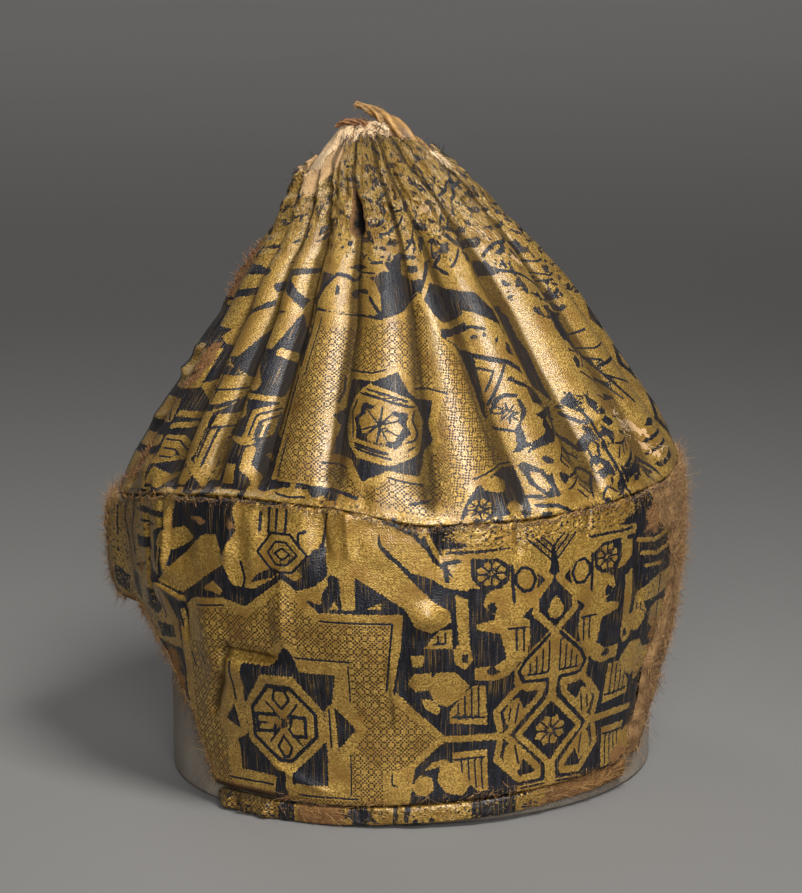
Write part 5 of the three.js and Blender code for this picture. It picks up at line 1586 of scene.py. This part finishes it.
def build_back():
    """The band round the back, which meets the wadding at both ends."""
    overlap = BACK_MESH["overlap"]
    angles = np.linspace(BACK["right"] - overlap, BACK["left"] + overlap, BACK_MESH["columns"])
    angle, step = np.meshgrid(angles, np.linspace(0, 1, BACK_MESH["rows"]))
    ends = smoothstep(8, 0, angle - angles[0]) + smoothstep(8, 0, angles[-1] - angle)
    angle = angle + ends * (1.2 * noise(63, step * 11) + 0.8 * noise(64, step * 31))
    top = band_top(angle)
    low = BACK["bottom"] + 1.2 * ring_noise(61, angle, 40)
    height = low + (top - low) * step
    rise = ring_noise(62, angle, 60, height * 0.1) * 0.6 - 1.6 * smoothstep(top - 2.5, top, height)
    outer = band_point(angle, height, rise - 1.2 * smoothstep(low + 2, low, height))
    back = row_picks(len(step), BACK_MESH["inner_rows"])
    inner = band_point(angle[back], height[back], -WALL)
    up = np.concatenate([height, height[back]])
    chart = Chart(around_at(np.concatenate([angle, angle[back]])), up)
    chart.paint(FIELD_CHART)
    chart.paint(tree_rows())
    values = chart.values()
    values["wear"] = 0.6 * (1 - smoothstep(0, 8, up - BACK["bottom"]))
    values["ragged"] = 0.15 + 0.5 * np.concatenate([ends, ends[back]])
    values["bare"] = np.zeros_like(up)
    values["bare"][len(step) + BACK_MESH["turned_rows"]:] = 2.0
    values["painted_pit_shade"] = np.zeros_like(up)
    return make_grid("band_back_cover", np.concatenate([outer, inner]), SILK, values)


def build_hem():
    """The padded hem along the foot of the front: a squarish tube, folded over at its left end."""
    def stretch(start, end, slant=0.0):
        low, high = HEM_CHART["below"], HEM_CHART["above"]
        return [(start, low), (end, low), (end + slant, high), (start + slant, high)]

    angles = np.linspace(HEM["left"], HEM["right"], HEM_MESH["columns"])
    turns = np.linspace(0, 2 * math.pi, HEM_MESH["sides"], endpoint=False)
    angle, turn = np.meshgrid(angles, turns)
    folded, thick, tall = hem_size(angle)
    square = 0.42 + 0.3 * folded
    out = 0.5 - 0.5 * np.sign(np.cos(turn)) * np.abs(np.cos(turn)) ** square
    lift = 0.5 - 0.5 * np.sign(np.sin(turn)) * np.abs(np.sin(turn)) ** square
    lumps = ring_noise(71, angle, 90, lift * 1.5) * (0.6 + 1.2 * folded)
    lumps = lumps + ring_noise(72, angle, 260, lift * 3) * 0.4
    lumps = lumps + ring_noise(75, angle, 170) * 1.2 * folded
    radius = STAND_RADIUS + GAP + out * (thick + lumps)
    height = hem_foot(angle) + lift * (tall + 0.2 * lumps)
    points = round_point(angle, radius, height)
    around = SEAM_RADIUS * np.radians(angle)
    up = height + 3 * out
    chart = Chart(around, up)
    chart.fill("gold", stretch(HEM_CHART["fold"], HEM_CHART["right"]))
    chart.fill("lattice", stretch(HEM_CHART["left"], HEM_CHART["fold"]))
    for start, end in HEM_DARK:
        chart.fill("dark", stretch(start, end, HEM_CHART["slant"]))
    values = chart.values()
    mottle = 1.7 * noise(73, around * 0.16, up * 0.9) + 1.1 * noise(74, around * 0.9, up * 0.5) + 0.9
    values["gold"] = np.minimum(values["gold"], mottle.ravel())
    values["wear"] = patches(HEM_WEAR, around, up)
    values["ragged"] = 0.7 + 0 * up
    # Painted shade: dark along the top of the hem's folded left end, over an even darkening of the whole
    # hem
    values["painted_shade"] = np.clip(0.2 + folded * smoothstep(0.6, 0.95, lift), 0, 1)
    values["bare"] = np.zeros_like(up)
    values["painted_pit_shade"] = np.zeros_like(up)
    return make_grid("hem_cover", points, SILK, values)


# Strands

def strands(name, roots, directions, curls, lengths, radii, material, rings=5, sides=3):
    """Thin tapering threads from roots, joined in one mesh, each with its own shade."""
    count = len(roots)
    t = np.linspace(0, 1, rings)[None, :, None]
    length = lengths[:, None, None]
    spine = roots[:, None] + directions[:, None] * length * t + curls[:, None] * length * t ** 2
    spine[..., 2] = np.maximum(spine[..., 2], 0.4)
    ahead = unit(directions[:, None] + 2 * curls[:, None] * t)
    first = unit(np.cross(ahead, (0.31, 0.17, 0.93)))
    second = np.cross(ahead, first)
    turn = np.linspace(0, 2 * math.pi, sides, endpoint=False)
    thick = radii[:, None, None] * (1 - 0.7 * t)
    ring = [thick * (first * math.cos(a) + second * math.sin(a)) for a in turn]
    points = (spine[:, :, None] + np.stack(ring, 2)).reshape(-1, 3)
    counts = np.arange(count), np.arange(rings - 1), np.arange(sides)
    strand, ringed, side = np.meshgrid(*counts, indexing="ij")
    base = strand * rings * sides
    other = (side + 1) % sides
    corners = [(ringed, side), (ringed, other), (ringed + 1, other), (ringed + 1, side)]
    walls = np.stack([base + r * sides + s for r, s in corners], -1).reshape(-1, 4).tolist()
    starts = np.arange(count) * rings * sides
    ends = starts + (rings - 1) * sides
    caps = [[s + i for i in reversed(range(sides))] for s in starts]
    caps = caps + [[e + i for i in range(sides)] for e in ends]
    shade = np.repeat(RNG.uniform(0, 1, count), rings * sides)
    return make_mesh(name, points, walls + caps, material, {"shade": shade})


def outward(angle):
    arc = np.radians(angle)
    return np.stack([np.sin(arc), -np.cos(arc), 0 * arc], -1)


def onward(angle):
    arc = np.radians(angle)
    return np.stack([np.cos(arc), np.sin(arc), 0 * arc], -1)


def scattered(stretches):
    """Random places in several stretches, each with its own count."""
    return np.concatenate([RNG.uniform(*stretch) for stretch in stretches])


def hair(name, angle, roots, material):
    """Strands combed along the wall's way round and up, standing off it by a share."""
    combed, spread, lift, lengths, radii = THREAD_WAYS[name]
    count = len(angle)
    lengths = RNG.uniform(*lengths, count)
    radii = RNG.uniform(*radii, count)
    wander = RNG.normal(0, spread, (3, count, 1))
    along = combed[0] * onward(angle) + combed[1] * UPWARD
    along = along + wander[0] * onward(angle) + wander[1] * UPWARD
    directions = unit(along + lift * outward(angle))
    curls = RNG.normal(0, 0.4, (count, 3)) - 0.4 * lift * outward(angle)
    return strands(name, roots, directions, curls, lengths, radii, material)


def build_pad(name, angle, step, low, high, rise):
    """The wadding's own body under its fibres, over a grid of angles and steps up."""
    height = low(angle) + (high(angle) - low(angle)) * step
    turned = 1.5 * smoothstep(0.06, 0, step) + 1.5 * smoothstep(0.95, 1, step)
    outer = band_point(angle, height, rise(angle, height) - turned)
    back = row_picks(len(step), PAD_INNER_ROWS)
    inner = band_point(angle[back], height[back], -WALL)
    shade = 0.35 + 0.3 * ring_noise(83, angle, 160, height * 0.35)
    values = {"shade": np.concatenate([shade, shade[back]])}
    return make_grid(name, np.concatenate([outer, inner]), WOOL, values)


def build_right_wadding():
    """Bare wadding past the torn right edge of the band's front: its body and its fibres."""
    def rise(angle, height):
        past = (angle - right_edge((height - EDGE_RUN["foot"]) / EDGE_RUN["length"])) / 4
        return -1.6 + (pad_rise(angle, height) + 1.6) * smoothstep(-0.2, 1, past)

    end = RIGHT_PAD["end"]
    spread, step = np.meshgrid(np.linspace(0, 1, RIGHT_PAD["columns"]),
                               np.linspace(0, 1, RIGHT_PAD["rows"]))
    start = right_edge(step) - RIGHT_PAD["tuck"]
    pad = build_pad("right_wadding", start + (end - start) * spread, step, front_edge, band_top, rise)
    count = RIGHT_PAD["fibres"]
    step = RNG.uniform(0.01, 1, count)
    start = right_edge(step)
    angle = start - 0.5 + (end - start) * RNG.uniform(0, 1, count) ** 1.2
    height = front_edge(angle) + (band_top(angle) - front_edge(angle)) * step
    roots = band_point(angle, height, rise(angle, height) - 0.2)
    return pad, hair("right_wadding_fibres", angle, roots, WOOL)


def build_left_wadding():
    """Bare wadding in the roll at the left side: its body and its fibres."""
    def low(angle):
        return ROLL["bottom"] + 0 * angle

    def high(angle):
        return np.minimum(ROLL["top"], band_top(angle))

    def rise(angle, height):
        return roll_rise(FRONT_LEFT, height) + 0.6 * ring_noise(84, angle, 80, height * 0.2)

    name = "left_wadding_fibres"
    angle, step = np.meshgrid(np.linspace(LEFT_PAD["left"], LEFT_PAD["right"], LEFT_PAD["columns"]),
                              np.linspace(0, 1, LEFT_PAD["rows"]))
    pad = build_pad("left_wadding", angle, step, low, high, rise)
    angle = scattered(THREAD_STRETCHES[name])
    height = RNG.uniform(ROLL["bottom"] + 1, ROLL["top"] + 2, len(angle))
    roots = band_point(angle, height, rise(angle, height) - 0.4)
    return pad, hair(name, angle, roots, WOOL)


def build_lining():
    """The gathered lining that shows where the silk is worn off the tip."""
    low, rows, inner_rows = (LINING_MESH[key] for key in ("low", "rows", "inner_rows"))
    angles = np.arange(0, 360, LINING_MESH["step"])
    shares = np.concatenate([np.linspace(low, LINING_MESH["high"], rows),
                             np.linspace(LINING_MESH["inner_high"], low, inner_rows)])
    angle, share = np.meshgrid(angles, shares)
    height = SEAM_HEIGHT + (TIP - SEAM_HEIGHT) * share
    inside = (np.arange(len(shares)) >= rows)[:, None]
    pleats = 1 - np.abs(np.sin(np.radians(angle * 6.5 + 30 * ring_noise(91, angle, 8)))) ** 0.7
    sunk = 2.2 * pleats + 0.9 * ring_noise(92, angle, 40, share * 26)
    bare = smoothstep(0.86, 0.92, share)
    radius = curve(TIP_TABLE, 1, share) - sunk * bare - 1.6 * inside
    points = round_point(angle, radius, height, curve(TIP_TABLE, 2, share))
    values = {"around": LINING_MESH["radius"] * np.radians(angle), "up": CLOTH_LENGTH * share}
    return make_grid("tip_lining_cover", points, LINEN, values, closed_columns=True)


def build_strip(name, spine, material):
    """A twisted strip along a spine of places and half thicknesses."""
    spine = np.array(spine, float)
    rings, sides = STRIP_MESH["rings"], STRIP_MESH["sides"]
    at = np.linspace(0, 1, rings)
    knots = np.linspace(0, 1, len(spine))
    middle = np.stack([curve(np.stack([knots, spine[:, i]], 1), 1, at) for i in range(3)], -1)
    half = curve(np.stack([knots, spine[:, 3]], 1), 1, at)
    ahead = unit(np.gradient(middle, axis=0))
    side = unit(np.cross(ahead, UPWARD))
    over = np.cross(side, ahead)
    turns = np.linspace(0, 2 * math.pi, sides, endpoint=False)
    twisted = np.cos(4 * turns[None] + 20 * at[:, None])
    bark = 1 + 0.26 * twisted + 0.26 * noise(95, at[:, None] * 12, turns[None] * 2.2)
    wide = half[:, None] * 1.1 * bark * np.cos(turns)
    tall = half[:, None] * 0.75 * bark * np.sin(turns)
    points = middle[:, None] + wide[..., None] * side[:, None] + tall[..., None] * over[:, None]
    shade = 0.5 + 0.3 * twisted + 0.25 * noise(96, at[:, None] * 14, turns[None] * 1.7)
    body = make_grid(name, points.transpose(1, 0, 2), material, {"shade": shade.T})
    count = SCRAP_THREADS["count"]
    pick = RNG.integers(0, rings - 4, count)
    turn = RNG.uniform(0, 2 * math.pi, count)
    out = np.cos(turn)[:, None] * side[pick] * 1.1 + np.sin(turn)[:, None] * over[pick] * 0.75
    roots = middle[pick] + out * half[pick][:, None] * 0.9
    directions = ahead[pick] + 0.4 * out + RNG.normal(0, 0.2, (count, 3))
    curls = RNG.normal(0, 0.3, (count, 3))
    lengths = RNG.uniform(*SCRAP_THREADS["lengths"], count)
    radii = RNG.uniform(*SCRAP_THREADS["radii"], count)
    return body, strands(name + "_threads", roots, directions, curls, lengths, radii, material)


def build_stand():
    """The drum, covered in plain cloth, with rounded edges and open below and above."""
    angles = np.arange(0, 360, STAND_MESH["step"])
    edge = STAND_MESH["edge"]
    bend = np.linspace(0, math.pi / 2, STAND_MESH["edge_rows"])
    middle = STAND_RADIUS - edge
    lower = [(middle + edge * math.sin(a), edge - edge * math.cos(a)) for a in bend]
    wall = [(STAND_RADIUS, z) for z in np.linspace(2 * edge, STAND_TOP - 2 * edge, STAND_MESH["rows"])]
    upper = [(middle + edge * math.cos(a), STAND_TOP - edge + edge * math.sin(a)) for a in bend]
    behind = STAND_RADIUS - STAND_MESH["wall"]
    inner = [(behind, z) for z in np.linspace(STAND_TOP, 0, STAND_MESH["inner_rows"])]
    profile = np.array([*lower, *wall, *upper, *inner])
    angle, _ = np.meshgrid(angles, profile[:, 0])
    radius = profile[:, :1] + 0.25 * ring_noise(97, angle, 14, profile[:, 1:] * 0.03) - 0.25
    height = np.broadcast_to(profile[:, 1:], angle.shape)
    points = round_point(angle, radius, height)
    values = {"around": STAND_RADIUS * np.radians(angle), "up": height}
    return make_grid("stand_drum", points, DRUM, values, closed_columns=True)


def braid_roots(angle):
    return band_point(angle, band_top(angle) + RNG.uniform(-1.2, 0.2, len(angle)), 0.1)


def stitch_roots(angle):
    return band_point(angle, band_top(angle) + RNG.uniform(-1.6, 0.4, len(angle)), 0.2)


def hem_roots(angle):
    _, thick, tall = hem_size(angle)
    height = hem_foot(angle) + tall * RNG.uniform(0.2, 0.95, len(angle))
    return round_point(angle, STAND_RADIUS + GAP + thick - 0.3, height)


def edge_roots(angle):
    edge = front_edge(angle)
    return band_point(angle, edge + RNG.uniform(-0.5, 3, len(angle)), band_relief(angle, edge + 3))


def rim_roots(angle):
    return crown_point(angle, rim_at(angle) - RNG.uniform(0, 0.02, len(angle)), 0.3)


def tip_roots(angle):
    share = RNG.uniform(0.925, 0.98, len(angle))
    height = SEAM_HEIGHT + (TIP - SEAM_HEIGHT) * share
    return round_point(angle, curve(TIP_TABLE, 1, share), height, curve(TIP_TABLE, 2, share))


def tear_places():
    """Angles and shares of threads along the torn line of the crown."""
    count = TEAR["count"]
    along = RNG.uniform(0, 1, count)
    angle = TEAR["angle"] + TEAR["turn"] * along + RNG.normal(0, TEAR["wide"], count)
    share = TEAR["share"] - TEAR["fall"] * along + RNG.normal(0, TEAR["tall"], count)
    return angle, share


def build_threads():
    """Stitches along the seam, frayed ends along the worn edges, and fibres on the worn places."""
    kinds = [("seam_gold_threads", braid_roots, TWIST), ("hem_fibres", hem_roots, STRAW),
             ("seam_stitches", stitch_roots, DARK_THREAD), ("seam_threads", stitch_roots, STRAW),
             ("edge_threads", edge_roots, STRAW), ("rim_threads", rim_roots, DARK_THREAD),
             ("tip_threads", tip_roots, RUSSET), ("tip_dark_threads", tip_roots, DARK_THREAD)]
    for name, roots, material in kinds:
        angle = scattered(THREAD_STRETCHES[name])
        yield hair(name, angle, roots(angle), material)
    angle, share = tear_places()
    yield hair("tear_threads", angle, crown_point(angle, share, ROOT), CREAM)
    angle = scattered(THREAD_STRETCHES["worn_fibres"])
    share = scattered(WORN_LEVELS)
    yield hair("worn_fibres", angle, crown_point(angle, share, ROOT), RUSSET)


# View and stage

def build_camera():
    """The photograph's view: a long lens a little above the cap, turned slightly about its own axis."""
    camera = bpy.data.cameras.new("camera")
    holder = bpy.data.objects.new("camera", camera)
    bpy.context.scene.collection.objects.link(holder)
    bpy.context.scene.camera = holder
    climb, pitch, yaw, roll = (math.radians(VIEW[key]) for key in ("climb", "pitch", "yaw", "roll"))
    eye = VIEW["distance"] * np.array([0, -math.cos(climb), math.sin(climb)])
    level = math.cos(pitch)
    forward = np.array([-math.sin(yaw) * level, math.cos(yaw) * level, -math.sin(pitch)])
    right = unit(np.cross(forward, UPWARD))
    up = np.cross(right, forward)
    matrix = np.eye(4)
    matrix[:3, 0] = right * math.cos(roll) - up * math.sin(roll)
    matrix[:3, 1] = up * math.cos(roll) + right * math.sin(roll)
    matrix[:3, 2] = -forward
    matrix[:3, 3] = (eye + (AXIS[0], AXIS[1], 0)) * MM
    holder.matrix_world = Matrix(matrix.tolist())
    camera.sensor_fit = "VERTICAL"
    camera.sensor_height = VIEW["sensor"]
    camera.lens = VIEW["lens"]


def build_light(name, place, aim, size, power, spread):
    lamp = bpy.data.lights.new(name, "AREA")
    lamp.energy = power
    lamp.shape = "RECTANGLE"
    lamp.size, lamp.size_y = size
    lamp.spread = math.radians(spread)
    holder = bpy.data.objects.new(name, lamp)
    holder.location = place
    holder.rotation_euler = (Vector(aim) - Vector(place)).to_track_quat("-Z", "Y").to_euler()
    bpy.context.scene.collection.objects.link(holder)


def build_stage():
    bpy.ops.mesh.primitive_plane_add(size=FLOOR_SIZE)
    floor = bpy.context.object
    floor.name = "floor"
    n = Nodes("floor_paper")
    place = n.node("TexCoord").outputs["Object"]
    paper = n.mix(n.noise(place, 3, 2), tone("floor_dark"), tone("floor_light"))
    n.set(Base_Color=paper, Roughness=0.9)
    floor.data.materials.append(n.material)
    world = bpy.data.worlds.new("studio")
    bpy.context.scene.world = world
    world.use_nodes = True
    grey = (ROOM_GREY, ROOM_GREY, ROOM_GREY, 1)
    world.node_tree.nodes["Background"].inputs["Color"].default_value = grey
    for lamp in LIGHTS:
        build_light(*lamp)
    bpy.context.scene.view_settings.view_transform = "Standard"


add(build_crown(), "gold_silk", "crown")
add(build_band(), "gold_silk", "band_front")
add(build_back(), "gold_silk", "band_back")
add(build_hem(), "gold_silk", "hem")
for pieces, node in ((build_right_wadding(), "wadding_right"), (build_left_wadding(), "wadding_left")):
    add(pieces[0], "brown_wadding", node)
    add(pieces[1], "brown_wadding")
add(build_lining(), "cream_lining", "tip_lining")
strip, fray = build_strip("tip_tuft_strip", TUFT, TWIST)
add(strip, "frayed_thread", "tip_tuft")
add(fray, "frayed_thread")
for name, material, spine in (("russet_scrap", RUSSET, RUSSET_SCRAP), ("cream_scrap", CREAM, CREAM_SCRAP),
                              ("side_scrap", CREAM, SIDE_SCRAP)):
    for piece in build_strip(name, spine, material):
        add(piece, "frayed_thread")
add(build_stand(), "stand_cover", "stand")
for threads in build_threads():
    add(threads, "frayed_thread")
build_camera()
build_stage()
